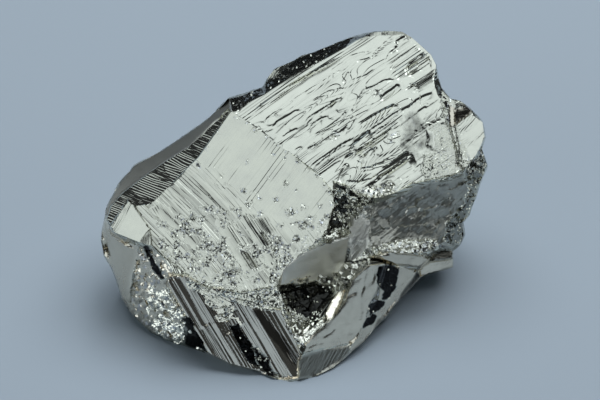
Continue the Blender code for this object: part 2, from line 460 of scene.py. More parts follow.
@dataclass(frozen=True)
class Zone:
    """One stretch of the front: where it is, and how it is finished.

    Its face is a true plane, a lean about its own middle, a smooth fit to the CAD, or the CAD's.
    Lengths and heights are in plan units.
    """

    surface: Surface
    ring: Ring
    feather: float = 2.0  # how deep inside the ring the zone counts in full
    plane: Plane | None = None
    bearing: float = 0.0  # of its growth lines, in degrees down from the right
    lines: float = 0.3  # strength of the fine lines
    grain: float = 0.0  # of the small grains
    dark: float = 0.0  # and of the painted shade, which in part stands for real tarnish
    step: float = 0.0  # height of a fine step
    ledges: tuple[Ledge, ...] = ()
    grainy: Circles = ()  # where there are more grains
    seed: int = 1  # the first of its noises
    lean: Pair | None = None  # right and up
    smooth: int = 0  # order of the fit, or 0 for none
    lift: float = 0.0  # how far its face is moved out
    ragged: float = 0.0  # how far noise moves its sides
    patches: float = 0.0  # it is left out where noise lies below this
    overlay: bool = False  # whether it lies on the relief of the zones before it
    facing: Pair = (0.05, 0.45)  # how far its bright grains lean right and up
    bright: float = 0.0  # and their share of all its grains

    def depth(self, x: Array, y: Array) -> Array:
        """How deep inside the ring each spot lies, where noise has made the ring ragged.

        Args:
            x: across.
            y: down.

        Returns:
            Distances in plan units, below 0 outside.
        """
        if not self.ragged:
            return within(x, y, self.ring)
        right = self.ragged * (rough(x / 9.0, y / 9.0, self.seed + 70, 3) - 0.5)
        down = self.ragged * (rough(x / 9.0, y / 9.0, self.seed + 71, 3) - 0.5)
        deep = within(x + right, y + down, self.ring)
        if self.patches:
            deep = np.minimum(deep, 18.0 * (rough(x / 8.0, y / 8.0, self.seed + 72, 3) - self.patches))
        return deep

    def base(self, x: Array, y: Array, out: Array) -> Array:
        """The face under the relief.

        Args:
            x: across.
            y: down.
            out: how far out the CAD face is.

        Returns:
            How far out the zone's own face is; one that leans keeps the CAD's level at its middle.
        """
        if self.plane:
            return self.plane.out(x, y) + self.lift
        if self.lean:
            x0, y0 = np.mean(self.ring, axis=0)
            weight = np.clip(1.0 - np.hypot(x - x0, y - y0) / 12.0, 0.01, 1.0)
            level = float((out * weight).sum() / weight.sum())
            return level + self.lift - self.lean[0] * (x - x0) + self.lean[1] * (y - y0)
        if self.smooth:
            return powers(x, y, self.smooth) @ fitted(x, y, out, self.smooth) + self.lift
        return out + self.lift

    def share(self, x: Array, y: Array) -> Array:
        """1 well inside the ring, falling to 0 at its sides."""
        return np.clip(self.depth(x, y) / self.feather, 0.0, 1.0)

    def flow(self, x: Array, y: Array) -> tuple[Array, Array]:
        """Coordinates along and across the growth lines."""
        return turned(x, y, self.bearing)

    def relief(self, x: Array, y: Array, face: Array) -> Array:
        """Height above the given face, in plan units."""
        return np.zeros_like(x)

    def contour(self, x: Array, y: Array) -> Array:
        """The value that rises by 1 from each fine step to the next."""
        return np.zeros_like(x)

    def strength(self, x: Array, y: Array) -> Array:
        """How strong the fine steps are, about 1."""
        along, across = self.flow(x, y)
        return 0.3 + 1.4 * rough(along / 50.0, across / 6.0, self.seed + 8, 2)

    def rise(self, x: Array, y: Array, out: Array) -> Array:
        """How far out the finished surface is.

        Args:
            x: across.
            y: down.
            out: how far out the CAD face is.

        Returns:
            The height with the relief and the drawn ledges.
        """
        face = self.base(x, y, out)
        rise = face + self.relief(x, y, face)
        for ledge in self.ledges:
            rise += ledge.height(x, y)
        return rise

    def dress(self, x: Array, y: Array) -> Dress:
        """The zone's marks at each spot.

        Args:
            x: across.
            y: down.

        Returns:
            The marks.
        """
        along, across = self.flow(x, y)
        slope = steepness(self.contour, x, y)
        grain = np.maximum(self.grain, 0.6 * spots(x, y, self.grainy))
        full, fade = np.ones(x.shape), self.share(x, y)
        step = self.step * self.strength(x, y) * ease(slope, 0.9, 0.5)  # very close steps fade out
        return Dress(along, across, self.contour(x, y), slope, step * (fade if self.overlay else full),
                     self.lines * full, grain * fade, self.dark * fade)


@dataclass(frozen=True)
class TerracedZone(Zone):
    """A crystal face with sinuous growth terraces drawn out along its striations.

    Height: the level lines of stretched fractal noise, each a low step of one width everywhere.
    Fine steps follow the level lines of another such noise.
    """

    levels: float = 8.0  # how many terraces
    height: float = 0.5  # of one
    riser: float = 1.4  # width of the rise between two
    length: float = 90.0  # of the noise along the striations
    girth: float = 15.0  # and across them
    fine: float = 20.0  # how many fine steps

    def noise(self, x: Array, y: Array, seed: int) -> Array:
        """Fractal noise drawn out along the striations and bent by smooth noise.

        Args:
            x: across.
            y: down.
            seed: which noise.

        Returns:
            Numbers from 0 to 1.
        """
        along, across = turned(x, y, self.bearing)
        bend = 5.0 * swell(along / 34.0, across / 22.0, seed + 5)
        slide = 14.0 * swell(along / 40.0, across / 12.0, seed + 6)
        return rough((along + slide) / self.length, (across + bend) / self.girth, seed, 2)

    def contour(self, x: Array, y: Array) -> Array:
        """The value that rises by 1 from each fine step to the next."""
        return self.fine * self.noise(x, y, self.seed + 50)

    def relief(self, x: Array, y: Array, face: Array) -> Array:
        """Height above the given face.

        Args:
            x: across.
            y: down.
            face: how far out that face is; not used.

        Returns:
            Heights in plan units.
        """
        value = self.levels * self.noise(x, y, self.seed)
        slope = steepness(lambda u, v: self.noise(u, v, self.seed), x, y)
        steep = np.clip(self.riser * self.levels * slope, 0.06, 0.95)
        whole = np.floor(value)
        high = whole + np.clip((value - whole - 1.0 + steep) / steep, 0.0, 1.0)
        return self.height * (high - self.levels / 2)


@dataclass(frozen=True)
class UpperZone(TerracedZone):
    """The upper face, with close straight lines beside its long edge.

    Face: the lower of its own plane and of a slope that climbs from the front face's plane with the
    distance from their common edge. Fine steps: those of the terraces, blended into even straight
    ones beside the long edge.
    """

    foot: Plane | None = None  # the front face's plane
    foot_edge: Ring = ((232.0, 110.0), (337.0, 205.0))  # the edge that the two faces share
    climb: float = 0.2  # rise per plan unit from it
    edge: Ring = ((205.0, 142.0), (247.0, 113.0), (290.0, 82.0), (345.0, 47.0), (400.0, 12.0))
    stronger: Pair = (380.0, 430.0)  # across the plan: where the fine steps grow

    def base(self, x: Array, y: Array, out: Array) -> Array:
        """The face under the relief."""
        away, _ = beside_path(x, y, self.foot_edge)
        return np.minimum(self.plane.out(x, y), self.foot.out(x, y) + self.climb * np.maximum(-away, 0.0))

    def straight(self, x: Array, y: Array) -> Array:
        """1 beside the long edge, falling to 0 further from it."""
        away, _ = beside_path(x, y, self.edge)
        return ease(away, 17.0, 6.0)

    def contour(self, x: Array, y: Array) -> Array:
        """The value that rises by 1 from each fine step to the next.

        Args:
            x: across.
            y: down.

        Returns:
            The values.
        """
        away, _ = beside_path(x, y, self.edge)
        along, across = turned(x, y, self.bearing)
        wander = swell(along / 30.0, across / 8.0, self.seed + 8)
        made = TerracedZone.contour(self, x, y)
        return made + self.straight(x, y) * (-away / 2.9 - 0.8 * wander - made)

    def strength(self, x: Array, y: Array) -> Array:
        """How strong the fine steps are: uneven, and stronger to the right and by the long edge.

        Args:
            x: across.
            y: down.

        Returns:
            Numbers about 1.
        """
        along, across = turned(x, y, self.bearing)
        uneven = 0.1 + 1.5 * ease(rough(along / 50.0, across / 9.0, self.seed + 8, 2), 0.4, 0.65)
        return uneven + 0.7 * ease(x, *self.stronger) + 1.7 * self.straight(x, y)

    def relief(self, x: Array, y: Array, face: Array) -> Array:
        """Height above the given face, in plan units."""
        return TerracedZone.relief(self, x, y, face) * (1.0 - 0.85 * self.straight(x, y))


@dataclass(frozen=True)
class RolledZone(Zone):
    """A crystal face that is smooth on one side and rolls down in curved striations on the other.

    Height: a fall in proportion to the distance from the smooth part, in broad uneven bands that
    follow arcs about a far centre. Fine steps: the arcs at even distances, bent by noise.
    """

    hub: Pair = (-257.0, 643.0)  # the centre of the arcs
    arc: float = 640.0  # the radius at which lengths along them are true
    smooth_from: float = 650.0  # and the one beyond which nothing falls
    roll: float = 0.13  # fall per plan unit
    tread: float = 3.2  # distance between fine steps
    shade: float = 0.32  # painted shade in the dark bands
    smooth_ring: Ring = ()

    def flow(self, x: Array, y: Array) -> tuple[Array, Array]:
        """Coordinates along and across the arcs."""
        away = np.hypot(x - self.hub[0], y - self.hub[1])
        return np.arctan2(y - self.hub[1], x - self.hub[0]) * self.arc, away

    def contour(self, x: Array, y: Array) -> Array:
        """The value that rises by 1 from each fine step to the next."""
        turn, away = self.flow(x, y)
        return away / self.tread + 2.2 * rough(turn / 60.0, away / 16.0, self.seed, 2)

    def strength(self, x: Array, y: Array) -> Array:
        """How strong the fine steps are: weak near the smooth part, stronger far from it.

        Args:
            x: across.
            y: down.

        Returns:
            Numbers from 0.25 to 2.25.
        """
        turn, away = self.flow(x, y)
        uneven = ease(rough(turn / 60.0, away / 7.0, self.seed + 8, 2), 0.3, 0.7)
        beyond = ease(-within(x, y, self.smooth_ring), 0.0, 60.0)
        return 0.25 + uneven * (0.5 + 1.5 * beyond)

    def relief(self, x: Array, y: Array, face: Array) -> Array:
        """Height above the given face.

        Args:
            x: across.
            y: down.
            face: how far out that face is; not used.

        Returns:
            Heights in plan units.
        """
        turn, away = self.flow(x, y)
        beyond = np.maximum(-within(x, y, self.smooth_ring), 0.0)
        fall = self.roll * np.minimum(np.maximum(self.smooth_from - away, 0.0), beyond)
        band = 1.3 * (rough(turn / 80.0, away / 7.0, self.seed + 6, 2) - 0.5) * ease(beyond, 0.0, 14.0)
        return band - fall + 0.1 * rough(x / 12.0, y / 12.0, self.seed + 4, 3)

    def dress(self, x: Array, y: Array) -> Dress:
        """The zone's marks at each spot, with painted shade in soft dark bands along the arcs.

        Args:
            x: across.
            y: down.

        Returns:
            The marks.
        """
        made = Zone.dress(self, x, y)
        turn, away = self.flow(x, y)
        beyond = ease(-within(x, y, self.smooth_ring), 0.0, 36.0)
        bands = ease(rough(turn / 120.0, away / 6.0, self.seed + 12, 2), 0.42, 0.66)
        made.dark += self.shade * beyond * bands
        return made


@dataclass(frozen=True)
class PlainZone(Zone):
    """A smooth crystal face with straight lines: only fine steps, no relief."""

    pitch: float = 7.0  # distance between fine steps

    def contour(self, x: Array, y: Array) -> Array:
        """The value that rises by 1 from each fine step to the next."""
        along, across = self.flow(x, y)
        return across / self.pitch + 0.9 * rough(along / 70.0, across / 12.0, self.seed, 2)

    def strength(self, x: Array, y: Array) -> Array:
        """How strong the fine steps are, about 1: in some bands full, in others weak."""
        along, across = self.flow(x, y)
        return 0.15 + 1.5 * ease(rough(along / 60.0, across / 10.0, self.seed + 8, 2), 0.42, 0.62)


@dataclass(frozen=True)
class CombedZone(Zone):
    """A side face combed with fine deep grooves.

    Height: a zigzag across the grooves, whose depth changes slowly along them; the fine steps
    follow the grooves. Both are faint at the top of the plan and full further down.
    """

    pitch: float = 5.0  # distance between fine steps; a groove is four times as wide
    groove: float = 1.2  # depth of a groove
    full: Pair = (128.0, 156.0)  # down the plan: where they start and are full

    def contour(self, x: Array, y: Array) -> Array:
        """The value that rises by 1 from each fine step to the next."""
        along, across = turned(x, y, self.bearing)
        return -across / self.pitch + 1.7 * rough(along / 26.0, across / 7.0, self.seed + 4, 2)

    def strength(self, x: Array, y: Array) -> Array:
        """How strong the fine steps are: full in some blocks and weak in the others.

        Args:
            x: across.
            y: down.

        Returns:
            Numbers from 0.03 to 1.03.
        """
        along, across = self.flow(x, y)
        blocks = ease(rough(along / 34.0, across / 12.0, self.seed + 8, 2), 0.42, 0.49)
        return 0.03 + blocks * ease(y, *self.full)

    def relief(self, x: Array, y: Array, face: Array) -> Array:
        """Height above the given face.

        Args:
            x: across.
            y: down.
            face: how far out that face is; not used.

        Returns:
            Heights in plan units.
        """
        along, across = turned(x, y, self.bearing)
        shift = 1.6 * rough(along / 40.0, across / 9.0, self.seed, 2)
        phase = across / self.pitch / 4.0 + shift
        zigzag = np.abs(phase - np.round(phase)) * 2.0
        strong = 0.3 + 0.9 * rough(along / 26.0, across / self.pitch / 4.0, self.seed + 2, 1)
        strong *= 0.1 + 0.9 * ease(y, *self.full)
        return -self.groove * zigzag * strong


@dataclass(frozen=True)
class SteppedZone(Zone):
    """A flank of parallel treads, extruded along one bearing.

    Face: the sum, across the bearing, of a steady fall and of flat bands, each given as where it
    starts and ends across and along; and a steady fall along the bearing.
    """

    middle: Pair = (240.0, 180.0)  # where along and across are 0
    start: Pair = (45.0, 46.0)  # a place across, and how far out the flank is there
    fall: float = -0.40  # rise per unit across, so below 0
    along_fall: float = -0.22  # and per unit along
    along_start: float = 115.0  # the place along where that one adds nothing
    # each band: from and to across, from and to along, and the rise per unit across that it adds
    bands: tuple[tuple[float, float, float, float, float], ...] = ()

    def flow(self, x: Array, y: Array) -> tuple[Array, Array]:
        """Coordinates along and across the treads."""
        return turned(x - self.middle[0], y - self.middle[1], self.bearing)

    def contour(self, x: Array, y: Array) -> Array:
        """The value that rises by 1 from each fine step to the next."""
        along, across = self.flow(x, y)
        return -across / 3.1 + 0.8 * rough(along / 70.0, across / 10.0, self.seed + 4, 2)

    def base(self, x: Array, y: Array, out: Array) -> Array:
        """The profile of the treads.

        Args:
            x: across.
            y: down.
            out: how far out the CAD face is; not used.

        Returns:
            How far out the flank is.
        """
        along, across = self.flow(x, y)
        wander = 0.5 * (swell(along / 25.0, across / 8.0, self.seed) - 0.5)
        rise = self.start[1] + self.fall * (across - self.start[0])
        rise += self.along_fall * (along - self.along_start)
        for low, high, first, last, turn in self.bands:
            inside = ease(along, first - 1.5, first + 1.5) * ease(along, last + 1.5, last - 1.5)
            narrow = np.clip((across + wander - low) / (high - low), 0.0, 1.0)
            spread = np.clip((across - low + 5.0) / (high - low + 10.0), 0.0, 1.0)
            rise += turn * (high - low) * (inside * narrow + (1.0 - inside) * spread)
        return rise


@dataclass(frozen=True)
class ShellZone(Zone):
    """A smooth break with faint shell-like ripples.

    Height: rings of low waves about a point outside the zone, bent by smooth noise.
    """

    hub: Pair = (260.0, 200.0)
    ripple: float = 16.0  # distance between waves
    height: float = 0.22  # of a wave
    lump: float = 0.5  # height of the unevenness

    def relief(self, x: Array, y: Array, face: Array) -> Array:
        """Height above the given face.

        Args:
            x: across.
            y: down.
            face: how far out that face is; not used.

        Returns:
            Heights in plan units.
        """
        away = np.hypot(x - self.hub[0], y - self.hub[1])
        bent = away / self.ripple + 1.5 * swell(x / 30.0, y / 30.0, self.seed)
        uneven = rough(x / 14.0, y / 14.0, self.seed + 1, 3)
        return self.height * np.sin(2 * np.pi * bent) + self.lump * uneven


@dataclass(frozen=True)
class CrustZone(Zone):
    """A crust of small sparkling grains.

    Height: each grain stands at its own level and tilts its own way, in two sizes of grain.
    """

    size: float = 7.0  # of the larger grains
    height: float = 1.0  # how far their levels differ
    stretch: float = 1.0  # how much longer they are along the bearing
    tilt: float = 0.5  # steepest slope of a grain

    def relief(self, x: Array, y: Array, face: Array) -> Array:
        """Height above the given face.

        Args:
            x: across.
            y: down.
            face: how far out that face is; not used.

        Returns:
            Heights in plan units.
        """
        along, across = turned(x, y, self.bearing)
        turn = np.radians(self.bearing)
        high = np.zeros_like(x)
        for size, share in ((self.size, 1.0), (self.size / 2.2, 0.5)):
            own, tilt_x, tilt_y, ahead, beside = grains(along / self.stretch / size, across / size,
                                                        self.seed + int(20 * share))
            ahead = ahead * self.stretch
            dx = size * (ahead * np.cos(turn) - beside * np.sin(turn))
            dy = size * (ahead * np.sin(turn) + beside * np.cos(turn))
            high += self.height * share * (1.6 * own - 0.8) + self.tilt * (tilt_x * dx + tilt_y * dy)
        return high


@dataclass(frozen=True)
class FractureZone(Zone):
    """A rough hollow break with wavy ledges.

    Height: a staircase of fractal noise, with small grains on it.
    """

    size: float = 20.0  # of its largest forms
    height: float = 3.5
    tilt: float = 0.28  # steepest slope of a grain

    def relief(self, x: Array, y: Array, face: Array) -> Array:
        """Height above the given face.

        Args:
            x: across.
            y: down.
            face: how far out that face is; not used.

        Returns:
            Heights in plan units.
        """
        along, across = turned(x, y, self.bearing)
        broad = rough(along / self.size / 1.8, across / self.size, self.seed, 4)
        ledges = self.height * (0.5 * broad + 0.5 * stairs(6.0 * broad, 0.35) / 6.0) * 1.6
        own, tilt_x, tilt_y, ahead, beside = grains(x / 11.0, y / 9.0, self.seed + 9)
        facets = self.tilt * 10.0 * (tilt_x * ahead + tilt_y * beside)
        return ledges - self.height * 0.8 + 0.3 * own + facets


def drawn(width: float, drop: float, back: float, *paths: Ring) -> tuple[Ledge, ...]:
    """Ledges of one size along several lines."""
    return tuple(Ledge(path, width, drop, back) for path in paths)


FRONT = Plane((240.0, 180.0, 0.0), 0.09, 0.44)
UPPER = Plane((270.0, 135.0, -19.0), -0.05, 0.41)
CORNER_TOP = Plane((130.0, 222.0, 24.0), 0.09, 0.44)
SPARK = (0.10, 0.90)  # the lean of grains that face the high side lamp
FLANK_GLINT = (-0.53, -0.17)  # and of grains on the flank that face the lowest one
BLOCK_TOP = Plane((468.0, 135.0, -16.0), -0.02, 0.36)
SPECKLED_SLOPE = Plane((428.0, 150.0, -4.9), 0.20, 0.41)
COMBED_SIDE = Plane((150.0, 208.0, 18.0), -0.72, 1.18)
ROOF_TOP = Plane((283.0, 270.0, 36.0), 0.80, -0.40)
KEEL_SIDE = Plane((303.0, 350.0, 40.0), 0.62, -0.34)

UPPER_FACE: Ring = (
    (232, 111), (241, 110), (248, 103), (264, 95), (291, 77), (320, 62), (345, 48), (356, 41), (374, 36),
    (403, 34), (419, 48), (430, 59), (434, 80), (438, 95), (447, 108), (450, 126), (455, 143),
    (459, 163), (464, 170), (452, 176), (430, 180), (412, 184), (397, 192), (378, 198),
    (357, 196), (348, 190), (337, 186), (333, 191), (318, 174), (299, 160), (262, 132),
)
FRONT_FACE: Ring = (
    (231, 111), (262, 132), (299, 160), (318, 174), (333, 191), (335, 206), (327, 233), (301, 254),
    (284, 269), (276, 287), (240, 293), (205, 287), (186, 275), (164, 258), (152, 246), (150, 230),
    (134, 205), (150, 204), (178, 178), (199, 157),
)
FRONT_SMOOTH: Ring = (
    (231, 111), (262, 132), (299, 160), (318, 174), (333, 191), (335, 206), (330, 222), (300, 220),
    (268, 214), (255, 208), (247, 202), (240, 192), (232, 184), (222, 184), (224, 174), (216, 168),
    (204, 168), (197, 160), (199, 157),
)
OUTER_BAND: Ring = (
    (104, 214), (110, 199), (118, 185), (134, 164), (170, 144), (200, 123), (229, 96),
    (232, 111), (215, 122), (190, 146), (165, 162), (140, 180), (122, 194), (112, 207), (108, 218),
)
DARK_SIDE: Ring = (
    (229, 96), (262, 85), (300, 55), (352, 36), (376, 31), (374, 36), (356, 41), (345, 48), (291, 77),
    (264, 95), (248, 103), (241, 110), (232, 111),
)
COMB: Ring = (
    (106, 219), (110, 206), (121, 194), (140, 179), (165, 162), (190, 147), (214, 124), (228, 108),
    (231, 111), (215, 134), (199, 157), (178, 178), (150, 209), (131, 203), (113, 228),
)
CORNER: Ring = ((116, 233), (133, 206), (150, 229), (139, 243))
CORNER_EDGE: Ring = ((109, 228), (128, 199), (134, 205), (116, 234))
LEFT_BREAK: Ring = (
    (101, 222), (106, 219), (112, 232), (127, 242), (138, 246), (136, 262), (133, 272), (130, 292),
    (131, 310), (120, 300), (112, 270), (103, 250),
)
GRAINY_FLANK: Ring = (
    (139, 247), (151, 246), (164, 260), (172, 276), (168, 287), (180, 306), (183, 316), (180, 343),
    (166, 341), (151, 333), (130, 311), (131, 290), (136, 262),
)
BLAZING_FLANK: Ring = (
    (150, 288), (168, 286), (180, 306), (184, 318), (186, 338), (176, 345), (160, 338), (150, 325),
    (145, 305),
)
BLACK_WEDGE: Ring = (
    (142, 246), (149, 244), (153, 255), (158, 266), (167, 279), (162, 281), (153, 270), (146, 256),
)
FLANK_BLACK: Ring = ((228, 326), (239, 323), (245, 336), (258, 356), (262, 368), (250, 364), (240, 350))
FLANK_SPARKLE: Ring = ((250, 348), (258, 346), (272, 362), (282, 379), (270, 377), (258, 368))
BLACK_TREAD: Ring = ((250, 310), (260, 309), (301, 357), (299, 368), (291, 364))
SMALL_TREAD: Ring = ((199, 289), (206, 285), (229, 300), (232, 306), (222, 309), (205, 300))
BLACK_FOOT: Ring = ((180, 315), (190, 318), (206, 351), (196, 350), (183, 344), (186, 330))
STEPPED_FLANK: Ring = (
    (168, 274), (188, 275), (205, 287), (222, 287), (240, 300), (255, 306), (284, 309), (302, 357),
    (299, 378), (282, 380), (259, 372), (232, 366), (205, 353), (186, 318), (166, 284),
)
PALE_CRUST: Ring = (
    (196, 284), (225, 262), (245, 258), (275, 250), (300, 238), (322, 225), (328, 236), (301, 254),
    (284, 268), (277, 288), (286, 306), (276, 308), (262, 300), (244, 296), (226, 300), (212, 308),
    (204, 300),
)
FRONT_STRIPES: tuple[Ring, ...] = (
    ((213, 216), (236, 222), (267, 270), (246, 275)),
    ((236, 208), (268, 216), (292, 262), (270, 270)),
    ((148, 208), (160, 202), (220, 248), (206, 260)),
)
LOWER_FRONT: Ring = (
    (146, 226), (176, 214), (200, 206), (232, 204), (262, 214), (300, 214), (330, 205), (328, 236),
    (301, 254), (284, 270), (276, 288), (205, 287), (164, 258),
)
FLANK_TOP: Ring = (
    (184, 270), (205, 281), (226, 284), (240, 290), (262, 286), (278, 284), (290, 300), (288, 314),
    (272, 312), (250, 306), (228, 300), (206, 296), (188, 288),
)
SPARKLE_LEDGE: Ring = ((210, 306), (236, 304), (241, 322), (226, 324), (214, 318))
BRIGHT_STRIP: Ring = ((272, 292), (281, 288), (290, 312), (303, 338), (300, 350), (290, 333), (279, 306))
ROOF: Ring = (
    (282, 271), (292, 262), (301, 255), (314, 249), (327, 243), (351, 234), (347, 252), (344, 265),
    (336, 277), (318, 280), (300, 283), (279, 287),
)
ROOF_FOOT: Ring = (
    (280, 284), (300, 279), (318, 275), (336, 272), (340, 282), (318, 288), (300, 290), (278, 292),
)
KEEL: Ring = (
    (304, 352), (304, 344), (313, 335), (334, 318), (346, 300), (353, 279), (368, 265), (385, 262),
    (381, 278), (377, 292), (368, 305), (366, 318), (362, 328), (352, 343), (322, 348),
)
HOLLOW: Ring = (
    (278, 288), (300, 287), (315, 282), (337, 284), (333, 295), (320, 310), (304, 331), (296, 322),
    (286, 304),
)
HOLLOW_FOOT: Ring = ((286, 308), (296, 312), (306, 316), (318, 308), (322, 312), (304, 334), (294, 326))
WHITE_RIDGE: Ring = ((346, 289), (338, 292), (331, 299), (324, 313), (326, 323), (334, 317), (341, 303))
WHITE_FOOT: Ring = (
    (326, 316), (330, 320), (316, 330), (304, 344), (296, 336), (290, 324), (303, 331), (314, 321),
)
PIT: Ring = (
    (331, 182), (345, 184), (358, 194), (372, 196), (376, 203), (358, 210), (352, 222), (345, 236),
    (326, 243), (324, 234), (331, 216), (335, 204),
)
BREAK: Ring = (
    (355, 206), (376, 202), (398, 194), (413, 187), (432, 182), (455, 180), (466, 176), (474, 188),
    (470, 205), (458, 222), (462, 236), (452, 247), (437, 242), (418, 244), (380, 246), (366, 250),
    (368, 226),
)
BLUISH: Ring = (
    (352, 220), (362, 212), (371, 220), (372, 238), (366, 250), (352, 262), (346, 262), (350, 236),
)
RIM: Ring = (
    (462, 172), (468, 158), (484, 156), (488, 168), (483, 178), (476, 190), (472, 204), (464, 222),
    (466, 236), (452, 248), (442, 240), (446, 222), (462, 205), (468, 188),
)
CRUMBLY: Ring = (
    (368, 248), (384, 243), (404, 240), (438, 238), (440, 248), (425, 256), (390, 253), (376, 254),
)
SMOOTH_BAND: Ring = (
    (366, 257), (382, 253), (404, 253), (428, 256), (432, 258), (420, 268), (396, 265), (372, 259),
)
CRUMBLY_LINE: Ring = ((346, 262), (366, 254), (372, 258), (358, 268), (344, 288), (337, 282), (340, 272))
EDGE_BAND: Ring = (
    (386, 262), (396, 266), (418, 269), (414, 280), (400, 298), (386, 315), (364, 340), (350, 354),
    (348, 346), (362, 328), (368, 314), (378, 300), (380, 284),
)
EDGE_SHADE: Ring = (
    (416, 270), (424, 272), (406, 299), (389, 319), (366, 345), (352, 357), (349, 351), (364, 339),
    (383, 315), (398, 297),
)
BLACK_CHIPS: tuple[Ring, ...] = (
    ((379, 268), (390, 265), (399, 270), (396, 284), (388, 300), (380, 304), (383, 292), (376, 284)),
    ((367, 306), (378, 299), (386, 302), (380, 311), (370, 318)),
    ((362, 330), (366, 318), (374, 314), (380, 317), (373, 326)),
)
SMALL_CRYSTAL_TOP: Ring = ((432, 257), (441, 251), (453, 251), (453, 258), (430, 262))
SMALL_CRYSTAL_SIDE: Ring = ((430, 262), (453, 259), (453, 267), (440, 271), (420, 277), (418, 270))
RIGHT_BLOCK: Ring = ((454, 127), (472, 113), (484, 122), (486, 136), (480, 150), (475, 159), (462, 162))
BLOCK_EDGE: Ring = ((440, 97), (452, 98), (455, 112), (454, 128), (446, 124), (441, 108))
BLOCK_JOINT: Ring = (
    (444, 92), (452, 99), (457, 118), (459, 132), (466, 150), (472, 162), (466, 172), (456, 158),
    (449, 136), (444, 118), (440, 104),
)
BLOCK_BLACK: Ring = ((454, 111), (467, 105), (473, 112), (455, 125))
BLOCK_PALE: Ring = ((449, 106), (455, 108), (455, 127), (450, 127))
MATTE: Ring = ((398, 118), (414, 111), (429, 122), (432, 150), (417, 161), (401, 146))
SPECKLED: Ring = (
    (426, 128), (446, 122), (456, 142), (465, 168), (450, 178), (426, 180), (420, 164), (428, 150),
)
LIP: Ring = ((352, 188), (372, 184), (392, 180), (400, 186), (392, 196), (376, 202), (358, 200))
BOTTOM: Ring = ((297, 360), (304, 354), (322, 350), (352, 344), (350, 355), (318, 376), (298, 381))

UPPER_STRIPES: tuple[Ring, ...] = (
    ((384, 62), (400, 36), (418, 40), (438, 62), (438, 92), (416, 96), (396, 84)),
    ((350, 150), (386, 118), (404, 106), (398, 128), (362, 162)),
)
UPPER_LEDGES: tuple[Ledge, ...] = (
    *drawn(8.5, 4.4, 14.0, ((362, 186), (372, 178), (382, 168), (392, 161), (402, 153), (411, 149))),
    *drawn(2.7, 1.8, 5.0,
           ((356, 124), (372, 114), (384, 107), (392, 104), (399, 104)),
           ((398, 110), (408, 105), (415, 99), (424, 94), (433, 91)),
           ((336, 181), (339, 172), (345, 162)),
           ((403, 69), (409, 62), (416, 58), (421, 52)),
           ((378, 98), (385, 92), (391, 88), (398, 82)),
           ((394, 41), (402, 36), (407, 34))),
    *drawn(2.5, 1.7, 4.5,
           ((348, 152), (352, 144), (361, 136), (369, 129)),
           ((342, 158), (350, 153), (362, 146), (374, 138), (385, 131), (396, 123)),
           ((355, 169), (359, 160), (363, 152), (370, 148), (378, 146)),
           ((404, 72), (411, 68), (419, 62), (426, 57), (432, 54)),
           ((397, 193), (404, 187), (412, 181)),
           ((246, 115), (262, 102), (275, 93), (290, 83), (305, 74), (320, 66), (335, 57), (343, 50))),
    *drawn(1.5, 1.0, 3.0,
           ((369, 129), (381, 122), (390, 115), (400, 109)),
           ((364, 160), (368, 154), (373, 148)),
           ((357, 168), (370, 166), (382, 162), (388, 157)),
           ((345, 180), (358, 181), (370, 178), (378, 173)),
           ((371, 61), (374, 51), (384, 42), (392, 35)),
           ((388, 72), (391, 65), (396, 60), (404, 55), (412, 49), (421, 43)),
           ((389, 52), (398, 46), (404, 41), (412, 37)),
           ((364, 88), (372, 86), (379, 82), (385, 79), (397, 78)),
           ((352, 108), (355, 102), (359, 95), (363, 88)),
           ((341, 82), (345, 76), (347, 71)),
           ((271, 128), (276, 121), (288, 114), (294, 110), (301, 109)),
           ((305, 128), (308, 121), (316, 113), (326, 106), (336, 99), (345, 95)),
           ((313, 134), (320, 131), (330, 124), (340, 117), (347, 108)),
           ((306, 148), (316, 144), (324, 139), (329, 135)),
           ((329, 135), (340, 131), (348, 126)),
           ((308, 167), (318, 159), (330, 151), (342, 143), (353, 137))),
    *drawn(1.2, 0.75, 2.6,
           ((362, 139), (376, 131), (390, 121), (398, 116)),
           ((358, 171), (372, 169), (383, 165)),
           ((360, 190), (374, 180), (388, 170), (402, 160), (410, 155)),
           ((366, 189), (380, 178), (394, 168), (408, 158)),
           ((403, 177), (412, 171), (421, 162)),
           ((408, 74), (420, 67), (432, 59), (436, 56)),
           ((384, 62), (388, 53), (396, 46), (404, 38)),
           ((350, 80), (366, 74), (374, 68)),
           ((356, 60), (362, 59), (370, 57)),
           ((252, 116), (266, 106), (282, 94), (296, 85), (308, 77)),
           ((262, 105), (280, 93), (296, 81), (312, 72), (330, 62)),
           ((264, 124), (266, 118), (272, 113), (276, 110)),
           ((303, 124), (308, 117), (318, 110), (328, 104), (338, 97)),
           ((307, 137), (308, 129), (312, 123), (320, 118), (329, 115)),
           ((312, 168), (324, 158), (336, 150), (348, 143)),
           ((293, 150), (298, 147), (302, 146)),
           ((339, 131), (347, 124), (352, 116), (356, 108)),
           ((341, 136), (350, 127), (355, 118), (358, 110)),
           ((336, 127), (345, 119), (350, 112), (353, 106)),
           ((310, 103), (318, 97), (328, 91), (338, 88), (346, 87)),
           ((330, 70), (338, 64), (346, 60)),
           ((340, 62), (350, 55), (360, 52), (372, 50)),
           ((281, 137), (288, 132), (297, 127)),
           ((416, 112), (420, 109), (426, 105), (427, 110)),
           ((408, 84), (414, 82), (420, 87))),
)
